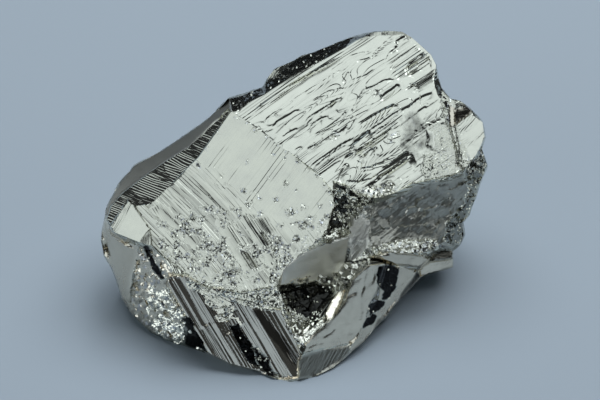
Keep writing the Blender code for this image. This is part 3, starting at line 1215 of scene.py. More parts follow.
FRONT_LEDGES: tuple[Ledge, ...] = (
    *drawn(2.0, 1.5, 3.0,
           ((243, 249), (250, 260), (256, 269)),
           ((248, 247), (256, 259), (261, 268)),
           ((263, 229), (270, 241), (276, 251), (283, 260))),
    *drawn(1.2, 0.45, 2.0,
           ((303, 161), (296, 170), (288, 181), (277, 197)),
           ((307, 162), (300, 171), (292, 182), (281, 197)),
           ((224, 174), (217, 184), (222, 187), (228, 188), (236, 196), (240, 200)),
           ((232, 184), (240, 192), (250, 200), (262, 208)),
           ((248, 196), (250, 191), (256, 189), (262, 196), (263, 204)),
           ((152, 216), (166, 232), (182, 246), (196, 258)),
           ((158, 205), (176, 222), (192, 238), (204, 250)),
           ((168, 196), (186, 213), (206, 230), (214, 238)),
           ((184, 186), (204, 205), (224, 224)),
           ((152, 232), (170, 246), (190, 262), (212, 278)),
           ((196, 182), (214, 200), (236, 220)),
           ((280, 202), (292, 214), (306, 222), (318, 230))),
)
ROOF_CRACKS: tuple[Ledge, ...] = drawn(
    1.3, 0.6, 3.0,
    ((296, 262), (306, 259), (320, 257)), ((288, 274), (298, 270), (307, 269)),
    ((318, 271), (330, 267), (341, 261)), ((326, 248), (336, 250), (345, 246)),
    ((302, 278), (310, 273), (316, 274)),
)
KEEL_CRACKS: tuple[Ledge, ...] = drawn(
    1.4, 0.9, 3.0,
    ((367, 272), (365, 285), (362, 298), (363, 312), (361, 322)), ((357, 293), (351, 296), (346, 300)),
    ((320, 336), (328, 332), (334, 326)), ((306, 346), (316, 341), (324, 341)),
    ((372, 266), (376, 274), (374, 284)),
)
FRONT_GRAINS = (
    (292, 213, 5), (304, 207, 3), (311, 220, 5), (320, 206, 3), (322, 222, 4), (296, 190, 2), (268, 178, 2),
    (243, 192, 3), (249, 204, 4), (198, 166, 3), (203, 219, 4), (207, 238, 4), (212, 254, 6),
    (196, 250, 5), (226, 256, 5), (228, 268, 6), (166, 247, 3), (165, 266, 6), (178, 268, 4),
    (285, 184, 3), (285, 158, 2), (273, 154, 2), (247, 162, 2), (260, 199, 3), (276, 200, 3),
    (225, 184, 2), (262, 216, 4), (237, 118, 2), (247, 123, 2), (256, 129, 3), (266, 136, 2),
    (276, 144, 3), (287, 152, 2), (298, 160, 3), (309, 168, 3), (318, 175, 3), (326, 184, 3),
    (331, 192, 4), (333, 203, 3), (216, 131, 3), (205, 148, 3), (191, 164, 2), (172, 184, 2),
)

# dark= paints shade into the metal's colour: it stands in for the dark room that these faces reflect, and in
# part for real tarnish
ZONES: tuple[Zone, ...] = (
    # painted shade on the outer band
    ShellZone(Surface.DULL, OUTER_BAND, 1.5, smooth=2, lines=0.1, dark=0.6, seed=3, height=0.1, lump=0.3),
    # painted shade: the dark side's colour is blackened
    CrustZone(Surface.ROLLED, DARK_SIDE, 2.0, lines=0.0, dark=0.8, grain=0.3, size=5.0, height=0.3,
              tilt=0.3, bright=0.02, seed=5),
    ShellZone(Surface.SHELL, LEFT_BREAK, 4.0, smooth=2, hub=(60.0, 300.0), lines=0.1, dark=0.2, seed=90),
    CombedZone(Surface.COMBED, COMB, 0.8, COMBED_SIDE, bearing=22.0, lines=0.12, step=0.75, dark=0.1,
               pitch=2.5, groove=0.5, seed=51),
    UpperZone(Surface.TERRACED, UPPER_FACE, 0.7, UPPER, bearing=-35.0, lines=0.06, step=0.31, foot=FRONT,
              ledges=UPPER_LEDGES, grainy=((376, 93, 4), (392, 137, 6), (334, 137, 4)), seed=11),
    *(PlainZone(Surface.TERRACED, ring, 8.0, overlay=True, ragged=9.0, bearing=145.0, lines=0.1, step=0.75,
                pitch=3.3, seed=21) for ring in UPPER_STRIPES),
    CrustZone(Surface.ROLLED, SPECKLED, 12.0, SPECKLED_SLOPE, ragged=10.0, grain=0.16, size=7.0,
              height=0.15, tilt=0.07, bearing=-35.0, stretch=2.0, lines=0.4, bright=0.5, seed=141),
    CrustZone(Surface.TERRACED, MATTE, 9.0, overlay=True, ragged=16.0, patches=0.26, bearing=-35.0, lines=0.1,
              grain=0.14, dark=0.78, size=7.0, height=0.1, tilt=0.05, seed=143),
    CrustZone(Surface.CRUST, LIP, 3.0, overlay=True, ragged=5.0, grain=0.3, size=8.0, height=0.4, tilt=0.25,
              seed=145),
    RolledZone(Surface.ROLLED, FRONT_FACE, 0.7, FRONT, lines=0.3, step=0.44, smooth_ring=FRONT_SMOOTH,
               ledges=FRONT_LEDGES, grainy=FRONT_GRAINS, seed=31),
    PlainZone(Surface.ROLLED, FRONT_SMOOTH, 1.0, overlay=True, bearing=127.0, lines=0.22, step=0.2, pitch=4.2,
              dark=0.02, grainy=FRONT_GRAINS, seed=39),
    Zone(Surface.ROLLED, CORNER, 1.0, CORNER_TOP, bearing=-58.0, lines=0.1, seed=73),
    CombedZone(Surface.ROLLED, CORNER_EDGE, 0.8, CORNER_TOP, bearing=-58.0, lines=0.2, step=0.8, pitch=3.4,
               groove=0.4, seed=74),
    CrustZone(Surface.SHELL, GRAINY_FLANK, 3.0, smooth=2, ragged=6.0, grain=0.45, size=9.0, height=0.4,
              tilt=0.25, facing=FLANK_GLINT, bright=0.07, dark=0.1, seed=111),
    CrustZone(Surface.CRUST, BLAZING_FLANK, 4.0, overlay=True, ragged=12.0, patches=0.33, grain=0.4,
              size=12.0, height=0.3, tilt=0.2, facing=FLANK_GLINT, bright=0.85, dark=0.45, seed=112),
    SteppedZone(
        Surface.STEPPED, STEPPED_FLANK, 1.5, bearing=59.5, lines=0.4, step=0.15, seed=71,
        bands=((45.0, 54.6, 112.0, 400.0, 0.42), (64.0, 65.2, 60.0, 400.0, 0.6),
               (73.5, 87.3, 126.0, 400.0, 0.42), (38.0, 39.4, 60.0, 400.0, 0.6),
               (41.6, 43.0, 60.0, 400.0, 0.6), (88.6, 89.8, 110.0, 400.0, 0.6),
               (92.0, 93.2, 110.0, 400.0, 0.6), (103.0, 107.0, 52.0, 108.0, 0.45),
               (110.4, 112.0, 45.0, 400.0, 0.6)),
    ),
    CrustZone(Surface.ROLLED, PALE_CRUST, 5.0, overlay=True, ragged=12.0, patches=0.45, grain=0.45, dark=0.2,
              bright=0.4, size=6.0, height=0.1, tilt=0.12, seed=33),
    *(PlainZone(Surface.ROLLED, ring, 7.0, overlay=True, ragged=8.0, bearing=237.0, lines=0.3, step=0.62,
                pitch=2.7, dark=0.3, seed=41) for ring in FRONT_STRIPES),
    CrustZone(Surface.ROLLED, LOWER_FRONT, 2.0, overlay=True, ragged=8.0, patches=0.53, grain=0.5, dark=0.42,
              bright=0.4, size=5.0, height=0.08, tilt=0.08, bearing=45.0, stretch=1.5, seed=32),
    CrustZone(Surface.ROLLED, FLANK_TOP, 3.0, overlay=True, ragged=9.0, patches=0.36, grain=0.45, bright=0.4,
              size=6.0, height=0.3, tilt=0.2, seed=34),
    CrustZone(Surface.CRUST, SPARKLE_LEDGE, 3.0, ragged=13.0, patches=0.4, grain=0.3, size=6.0, height=0.4,
              tilt=0.4, bright=0.5, seed=35),
    CrustZone(Surface.CRUST, BRIGHT_STRIP, 2.0, grain=0.5, size=5.0, height=0.4, tilt=0.4, bright=0.5,
              seed=113),
    # painted shade: the black wedge and the black band on the flank
    *(CrustZone(Surface.ROLLED, ring, feather, overlay=True, ragged=ragged, size=6.0, height=0.2, tilt=0.2,
                dark=1.3, grain=0.2, bright=0.01, seed=seed)
      for ring, feather, ragged, seed in ((BLACK_WEDGE, 1.5, 5.0, 37), (FLANK_BLACK, 1.0, 4.0, 44))),
    # painted shade, with a few bright grains
    CrustZone(Surface.ROLLED, FLANK_SPARKLE, 3.0, overlay=True, ragged=9.0, size=5.0, height=0.3, tilt=0.3,
              dark=1.2, grain=0.3, bright=0.09, seed=45),
    # painted shade on one tread
    PlainZone(Surface.STEPPED, BLACK_TREAD, 1.0, overlay=True, ragged=3.0, bearing=59.5, lines=0.4, step=0.3,
              pitch=3.0, dark=0.75, seed=47),
    CrustZone(Surface.ROLLED, SMALL_TREAD, 1.5, overlay=True, ragged=4.0, bearing=28.0, stretch=2.0, size=6.0,
              height=0.1, tilt=0.05, lines=0.9, grain=0.2, bright=0.93, seed=46),
    # painted shade on the flank's foot
    CrustZone(Surface.CRUST, BLACK_FOOT, 1.5, ragged=5.0, size=7.0, height=0.3, tilt=0.2, dark=1.06,
              grain=0.3, facing=FLANK_GLINT, bright=0.07, seed=38),
    ShellZone(Surface.DULL, ROOF, 2.0, ROOF_TOP, lines=0.15, ledges=ROOF_CRACKS, seed=91),
    # painted shade under the roof's edge
    CrustZone(Surface.CRUST, ROOF_FOOT, 2.0, overlay=True, ragged=8.0, patches=0.48, size=5.0, height=0.2,
              tilt=0.2, grain=0.3, dark=0.95, bright=0.08, seed=92),
    ShellZone(Surface.SHELL, KEEL, 2.0, KEEL_SIDE, hub=(300.0, 240.0), lines=0.15, lump=0.9,
              ledges=KEEL_CRACKS, seed=95),
    # painted shade in the hollow
    CrustZone(Surface.ROLLED, HOLLOW, 3.0, ragged=4.0, lines=0.0, size=7.0, height=0.4, tilt=0.3, grain=0.16,
              dark=1.05, facing=SPARK, bright=0.05, seed=119),
    CrustZone(Surface.ROLLED, HOLLOW_FOOT, 3.0, overlay=True, ragged=9.0, patches=0.42, size=5.0, height=0.1,
              tilt=0.1, grain=0.3, dark=0.6, facing=SPARK, bright=0.3, seed=120),
    CrustZone(Surface.CRUST, WHITE_FOOT, 1.5, grain=0.2, size=5.0, height=0.3, tilt=0.2, facing=SPARK,
              bright=0.7, dark=0.3, seed=121),
    Zone(Surface.SHELL, WHITE_RIDGE, 1.5, lean=SPARK, seed=123),
    # painted shade in the pit
    CrustZone(Surface.CRUST, PIT, 2.0, smooth=2, lift=2.0, ragged=5.0, size=9.0, height=0.6, tilt=0.25,
              facing=SPARK, bright=0.12, grain=0.3, dark=0.98, seed=125),
    CrustZone(Surface.ROLLED, PIT, 2.0, overlay=True, ragged=14.0, patches=0.5, size=9.0, height=0.1,
              tilt=0.1, lines=0.0, facing=SPARK, bright=0.6, grain=0.3, dark=0.3, seed=126),
    FractureZone(Surface.FRACTURE, BREAK, 3.0, ragged=6.0, bearing=-38.0, lines=0.8, grain=0.08, dark=0.34,
                 seed=131),
    ShellZone(Surface.DULL, BLUISH, 5.0, ragged=12.0, bearing=-50.0, lines=1.0, grain=0.1, dark=0.2,
              seed=133),
    CrustZone(Surface.ROLLED, RIM, 3.0, ragged=5.0, lines=0.2, facing=(0.58, 0.12), size=9.0, height=1.0,
              tilt=0.5, bright=0.22, grain=0.3, dark=0.62, seed=135),
    CrustZone(Surface.CRUST, CRUMBLY, 2.0, ragged=5.0, size=6.0, height=0.4, tilt=0.2, facing=SPARK,
              bright=0.5, grain=0.3, bearing=-60.0, stretch=1.8, seed=127),
    ShellZone(Surface.SHELL, SMOOTH_BAND, 2.0, lean=(0.3, -0.5), lines=0.2, dark=0.15, seed=137),
    CrustZone(Surface.CRUST, CRUMBLY_LINE, 2.0, ragged=4.0, size=6.0, height=0.4, tilt=0.2, bright=0.35,
              grain=0.4, dark=0.5, seed=139),
    ShellZone(Surface.SHELL, EDGE_BAND, 2.0, smooth=1, hub=(330.0, 200.0), bearing=-52.0, lines=0.5,
              dark=0.15, seed=99),
    ShellZone(Surface.SHELL, EDGE_SHADE, 3.0, overlay=True, ragged=6.0, bearing=-52.0, lines=0.5, height=0.0,
              lump=0.1, dark=0.8, seed=100),
    # painted shade on the black chips
    *(Zone(Surface.ROLLED, ring, 0.6, overlay=True, ragged=6.0, lines=0.0, dark=1.3, grain=0.3, bright=0.015,
           seed=101) for ring in BLACK_CHIPS),
    # painted shade on the small crystal's top
    Zone(Surface.SHELL, SMALL_CRYSTAL_TOP, 1.0, lean=(0.1, 0.1), dark=0.8, seed=103),
    Zone(Surface.SHELL, SMALL_CRYSTAL_SIDE, 1.0, lean=(0.2, -0.45), lines=0.2, seed=105),
    TerracedZone(Surface.TERRACED, RIGHT_BLOCK, 1.0, BLOCK_TOP, bearing=-35.0, lines=0.15, step=0.34,
                 dark=0.08, levels=6.0, fine=24.0, height=0.4, seed=15),
    CrustZone(Surface.CRUST, BLOCK_EDGE, 1.5, size=5.0, height=0.4, tilt=0.3, bright=0.4, grain=0.4, dark=0.3,
              seed=17),
    CrustZone(Surface.ROLLED, BLOCK_JOINT, 2.0, overlay=True, ragged=8.0, patches=0.36, size=5.0, height=0.1,
              tilt=0.1, bright=0.75, grain=0.3, seed=16),
    # painted shade on the block's black facet
    Zone(Surface.SHELL, BLOCK_BLACK, 0.8, lean=(0.1, 0.0), dark=0.8, seed=18),
    Zone(Surface.SHELL, BLOCK_PALE, 0.8, lean=(0.0, 0.4), seed=19),
    PlainZone(Surface.FRACTURE, BOTTOM, 2.0, smooth=1, bearing=118.0, lines=0.35, step=0.14, pitch=3.2,
              dark=0.4, seed=79),
)


# -------------------- finishes

BLUISH_TARNISH = (0.50, 0.53, 0.62, 1.0)
# the black of the painted shade
PAINTED_SHADE_BLACK = (0.012, 0.012, 0.012, 1.0)
COVER = 0.92  # how much of the metal a dark mark of 1, which is painted shade, hides
BLUISH_FROM = 0.82  # grains whose own random number is above this are bluish


class Nodes:
    """A short way to place and link shader nodes."""

    def __init__(self, tree: bpy.types.NodeTree) -> None:
        """Keep the tree that the nodes go into."""
        self.tree = tree

    def add(self, kind: str, **settings: object) -> bpy.types.Node:
        """A node with some of its settings changed.

        Args:
            kind: Blender's name for the node type.
            settings: properties of the node, by name.

        Returns:
            The node.
        """
        node = self.tree.nodes.new(kind)
        for name, value in settings.items():
            setattr(node, name, value)
        return node

    def feed(self, node: bpy.types.Node, **inputs: object) -> bpy.types.Node:
        """Set or link a node's inputs.

        Args:
            node: the node.
            inputs: a value or an output socket for each input, with _ for a space in its name.

        Returns:
            The same node.
        """
        for name, value in inputs.items():
            key = int(name[1:]) if name[1:].isdigit() else name.replace("_", " ")
            if isinstance(value, Socket):
                self.tree.links.new(value, node.inputs[key])
            else:
                node.inputs[key].default_value = value
        return node

    def maths(self, operation: str, first: object, second: object = 0.0) -> Socket:
        """The result of one sum on two numbers."""
        return self.feed(self.add("ShaderNodeMath", operation=operation), i0=first, i1=second).outputs[0]

    def vectors(self, operation: str, first: object, second: object) -> Socket:
        """The result of one sum on two vectors, which for a dot product is a number."""
        node = self.feed(self.add("ShaderNodeVectorMath", operation=operation), i0=first, i1=second)
        return node.outputs["Value" if operation == "DOT_PRODUCT" else "Vector"]

    def mix(self, share: object, first: object, second: object) -> Socket:
        """The first colour with a share, from 0 to 1, of the second in it."""
        node = self.feed(self.add("ShaderNodeMix", data_type="RGBA"), i0=share, i6=first, i7=second)
        return node.outputs[2]

    def remap(self, value: object, **ends: object) -> Socket:
        """A number taken from one range, whose ends are given or 0 and 1, to another."""
        return self.feed(self.add("ShaderNodeMapRange"), Value=value, **ends).outputs[0]

    def apart(self, vector: object) -> bpy.types.NodeOutputs:
        """The three numbers of a vector, by the names X, Y and Z."""
        return self.feed(self.add("ShaderNodeSeparateXYZ"), Vector=vector).outputs

    def carried(self, name: str) -> Socket:
        """One of the vectors that the corners of the mesh carry."""
        return self.add("ShaderNodeAttribute", attribute_name=name).outputs["Vector"]


def new_group(name: str, inputs: dict[str, tuple[str, object]], outputs: dict[str, str]) -> tuple:
    """An empty node group with named sockets.

    Args:
        name: the group's name.
        inputs: the type and start value of each input.
        outputs: the type of each output.

    Returns:
        The group, a Nodes for it, the sockets that its inputs come from by name, and the node that
        its outputs go to.
    """
    group = bpy.data.node_groups.new(name, "ShaderNodeTree")
    for label, (kind, value) in inputs.items():
        socket = group.interface.new_socket(label, in_out="INPUT", socket_type="NodeSocket" + kind)
        socket.default_value = value
    for label, kind in outputs.items():
        group.interface.new_socket(label, in_out="OUTPUT", socket_type="NodeSocket" + kind)
    nodes = Nodes(group)
    return group, nodes, nodes.add("NodeGroupInput").outputs, nodes.add("NodeGroupOutput")


def growth_line_group() -> bpy.types.NodeTree:
    """Fine growth lines: noise drawn out along the flow and pressed into flat treads.

    Returns:
        A group that puts out a height in plan units.
    """
    group, nodes, given, result = new_group(
        "growth_lines",
        {"Flow": ("Vector", (0.0, 0.0, 0.0)), "Pitch": ("Float", 3.0), "Stretch": ("Float", 16.0),
         "Height": ("Float", 0.5), "Sharp": ("Float", 0.08)},
        {"Height": "Float"},
    )
    squeeze = nodes.feed(nodes.add("ShaderNodeCombineXYZ"), X=nodes.maths("DIVIDE", 1.0, given["Stretch"]),
                         Y=1.0, Z=0.0)
    shaped = nodes.vectors("MULTIPLY", given["Flow"], squeeze.outputs[0])
    total = None
    for share, finer in ((0.65, 1.0), (0.35, 0.45)):
        scale = nodes.maths("DIVIDE", 1.0, nodes.maths("MULTIPLY", given["Pitch"], finer))
        noise = nodes.add("ShaderNodeTexNoise", noise_dimensions="2D")
        nodes.feed(noise, Vector=shaped, Scale=scale, Detail=1.0, Roughness=0.5)
        pressed = nodes.remap(noise.outputs[0], From_Min=nodes.maths("SUBTRACT", 0.5, given["Sharp"]),
                              From_Max=nodes.maths("ADD", 0.5, given["Sharp"]))
        part = nodes.maths("MULTIPLY", pressed, share)
        total = part if total is None else nodes.maths("ADD", total, part)
    nodes.feed(result, Height=nodes.maths("MULTIPLY", total, given["Height"]))
    return group


def fine_step_group() -> bpy.types.NodeTree:
    """Fine steps: within each whole number of the level, a slow fall and then a steep rise.

    Height: the level's own fraction taken away, plus a ramp from 0 to 1 before the next whole
    number, whose share of the step is the riser's width times the level's slope.

    Returns:
        A group that puts out a height in plan units.
    """
    group, nodes, given, result = new_group(
        "fine_steps",
        {"Level": ("Float", 0.0), "Slope": ("Float", 0.0), "Riser": ("Float", 0.8), "Height": ("Float", 0.5)},
        {"Height": "Float"},
    )
    share = nodes.maths("MULTIPLY", given["Riser"], given["Slope"])
    share = nodes.maths("MINIMUM", nodes.maths("MAXIMUM", share, 0.02), 0.9)
    part = nodes.maths("FRACT", given["Level"], 0.0)
    ramp = nodes.maths("DIVIDE", nodes.maths("SUBTRACT", part, nodes.maths("SUBTRACT", 1.0, share)), share)
    ramp = nodes.maths("MAXIMUM", ramp, 0.0)
    nodes.feed(result, Height=nodes.maths("MULTIPLY", nodes.maths("SUBTRACT", ramp, part), given["Height"]))
    return group


def grain_group() -> bpy.types.NodeTree:
    """Small grains: each cell of a random mosaic is a facet with its own tilt.

    Some of the cells, as many as the turn's last number says, also turn by its first two.

    Returns:
        A group that puts out the two heights in plan units, 1 for the cells that also turn, and each
        grain's random number.
    """
    group, nodes, given, result = new_group(
        "grains",
        {"Flow": ("Vector", (0.0, 0.0, 0.0)), "Turn": ("Vector", (0.0, 0.0, 0.0)), "Size": ("Float", 3.0),
         "Tilt": ("Float", 1.0)},
        {"Height": "Float", "Turned": "Float", "Chosen": "Float", "Own": "Float"},
    )
    flat = nodes.vectors("MULTIPLY", given["Flow"], (1.0, 1.0, 0.0))
    cells = nodes.add("ShaderNodeTexVoronoi", voronoi_dimensions="2D")
    nodes.feed(cells, Vector=flat, Scale=nodes.maths("DIVIDE", 1.0, given["Size"]))
    offset = nodes.vectors("SUBTRACT", flat, cells.outputs["Position"])
    lean = nodes.vectors("SUBTRACT", cells.outputs["Color"], (0.5, 0.5, 0.5))
    tilt = nodes.vectors("DOT_PRODUCT", offset, lean)
    turn = nodes.vectors("DOT_PRODUCT", offset, given["Turn"])
    own = nodes.feed(nodes.add("ShaderNodeSeparateColor"), Color=cells.outputs["Color"]).outputs[2]
    chosen = nodes.maths("LESS_THAN", own, nodes.apart(given["Turn"])["Z"])
    nodes.feed(result, Height=nodes.maths("MULTIPLY", tilt, given["Tilt"]),
               Turned=nodes.maths("MULTIPLY", turn, chosen), Chosen=chosen, Own=own)
    return group


def painted_shade_and_tarnish_group() -> bpy.types.NodeTree:
    """Cloudy tarnish with painted shade: two colours mixed by broad noise, bluer where marked and darker
    where painted shade is marked.

    Returns:
        A group that puts out a colour and a roughness.
    """
    group, nodes, given, result = new_group(
        "painted_shade_and_tarnish",
        {"Clean": ("Color", (0.6, 0.6, 0.5, 1.0)), "Dull": ("Color", (0.5, 0.5, 0.5, 1.0)),
         "Dark": ("Float", 0.0), "Blue": ("Float", 0.0), "Smooth": ("Float", 0.1),
         "Rough": ("Float", 0.3), "Scale": ("Float", 420.0)},
        {"Color": "Color", "Roughness": "Float"},
    )
    place = nodes.add("ShaderNodeTexCoord").outputs["Object"]
    noise = nodes.feed(nodes.add("ShaderNodeTexNoise"), Vector=place, Scale=given["Scale"], Detail=5.0,
                       Roughness=0.65)
    share = nodes.remap(noise.outputs[0], From_Min=0.38, From_Max=0.68)
    cloudy = nodes.mix(share, given["Clean"], given["Dull"])
    bluer = nodes.mix(given["Blue"], cloudy, BLUISH_TARNISH)
    # painted shade: the dark mark mixes black into the colour
    darker = nodes.mix(nodes.maths("MULTIPLY", given["Dark"], COVER), bluer, PAINTED_SHADE_BLACK)
    nodes.feed(result, Color=darker,
               Roughness=nodes.remap(share, To_Min=given["Smooth"], To_Max=given["Rough"]))
    return group


@dataclass(frozen=True)
class MetalFinish:
    """Pyrite metal: its colours, how smooth it is, its fine growth lines and its small grains."""

    name: str
    clean: Triple = (0.66, 0.66, 0.565)
    dull: Triple = (0.60, 0.60, 0.525)
    smooth: float = 0.06  # roughness where it is clean
    rough: float = 0.16  # and where it is dull
    pitch: float = 3.0  # size of the fine lines across, in plan units
    stretch: float = 18.0  # how many times longer they are
    height: float = 0.5  # and their height
    grain_size: float = 3.2
    grain_tilt: float = 1.5
    riser: float = 0.8  # width of the rise of a fine step

    def build(self, groups: tuple[bpy.types.NodeTree, ...]) -> bpy.types.Material:
        """The material.

        Args:
            groups: the shared node groups of the lines, the steps, the grains, and the tarnish with painted
                shade.

        Returns:
            A metallic material with tarnish and painted shade on its colour, tarnish on its roughness,
            and one bump for its fine lines and grains, in plan units.
        """
        material = bpy.data.materials.new(self.name)
        material.use_nodes = True
        nodes = Nodes(material.node_tree)
        shader = material.node_tree.nodes["Principled BSDF"]
        lines, steps, grain, painted_shade_and_tarnish = (nodes.add("ShaderNodeGroup", node_tree=group) for group in groups)
        flow = nodes.carried("flow")
        marks, sized = nodes.apart(nodes.carried("marks")), nodes.apart(nodes.carried("steps"))
        nodes.feed(lines, Flow=flow, Pitch=self.pitch, Stretch=self.stretch, Height=self.height)
        nodes.feed(steps, Level=nodes.apart(flow)["Z"], Slope=sized["X"], Riser=self.riser, Height=sized["Y"])
        nodes.feed(grain, Flow=flow, Turn=nodes.carried("turn"), Size=self.grain_size, Tilt=self.grain_tilt)
        high = nodes.maths("ADD", nodes.maths("MULTIPLY", lines.outputs["Height"], marks["X"]),
                           nodes.maths("MULTIPLY", grain.outputs["Height"], marks["Y"]))
        high = nodes.maths("ADD", nodes.maths("ADD", high, steps.outputs["Height"]), grain.outputs["Turned"])
        bump = nodes.feed(nodes.add("ShaderNodeBump"), Height=high, Strength=1.0, Distance=UNIT)
        # the painted shade is left off the grains that turn towards a lamp
        plain = nodes.maths("SUBTRACT", 1.0, grain.outputs["Chosen"])
        bluish = nodes.maths("GREATER_THAN", grain.outputs["Own"], BLUISH_FROM)
        nodes.feed(painted_shade_and_tarnish, Clean=(*self.clean, 1.0), Dull=(*self.dull, 1.0), Smooth=self.smooth,
                   Rough=self.rough, Dark=nodes.maths("MULTIPLY", marks["Z"], plain),
                   Blue=nodes.maths("MULTIPLY", bluish, marks["Y"]))
        nodes.feed(shader, Base_Color=painted_shade_and_tarnish.outputs["Color"], Roughness=painted_shade_and_tarnish.outputs["Roughness"],
                   Metallic=1.0, Normal=bump.outputs["Normal"])
        return material


FINISHES: dict[Surface, MetalFinish] = {
    Surface.TERRACED: MetalFinish("terraced_metal", (0.77, 0.77, 0.67), (0.72, 0.72, 0.63), pitch=4.0,
                                  stretch=14.0, riser=1.0),
    Surface.ROLLED: MetalFinish("rolled_metal", pitch=4.6, stretch=26.0, height=0.75, grain_size=1.6),
    Surface.COMBED: MetalFinish("combed_metal", pitch=3.6, stretch=10.0, height=1.4),
    Surface.STEPPED: MetalFinish("stepped_metal", (0.96, 0.88, 0.74), (0.89, 0.82, 0.69), pitch=4.2,
                                 stretch=30.0),
    Surface.SHELL: MetalFinish("shell_metal", (0.80, 0.745, 0.62), (0.72, 0.67, 0.56), smooth=0.16, rough=0.3,
                               pitch=4.0, stretch=3.0, height=0.3),
    Surface.CRUST: MetalFinish("crust_metal", (0.72, 0.71, 0.61), (0.63, 0.63, 0.56), pitch=3.0, stretch=3.0,
                               height=0.3, grain_size=2.8),
    Surface.FRACTURE: MetalFinish("fracture_metal", (0.64, 0.63, 0.55), (0.51, 0.505, 0.45), smooth=0.3,
                                  rough=0.45, pitch=5.0, stretch=4.0),
    Surface.DULL: MetalFinish("dull_metal", (0.82, 0.81, 0.74), (0.76, 0.75, 0.68), smooth=0.42, rough=0.56,
                              pitch=4.0, stretch=3.0, height=0.3),
    Surface.BACK: MetalFinish("back_metal", smooth=0.1, rough=0.22, pitch=5.0, stretch=20.0, height=0.6),
}


# -------------------- the lump

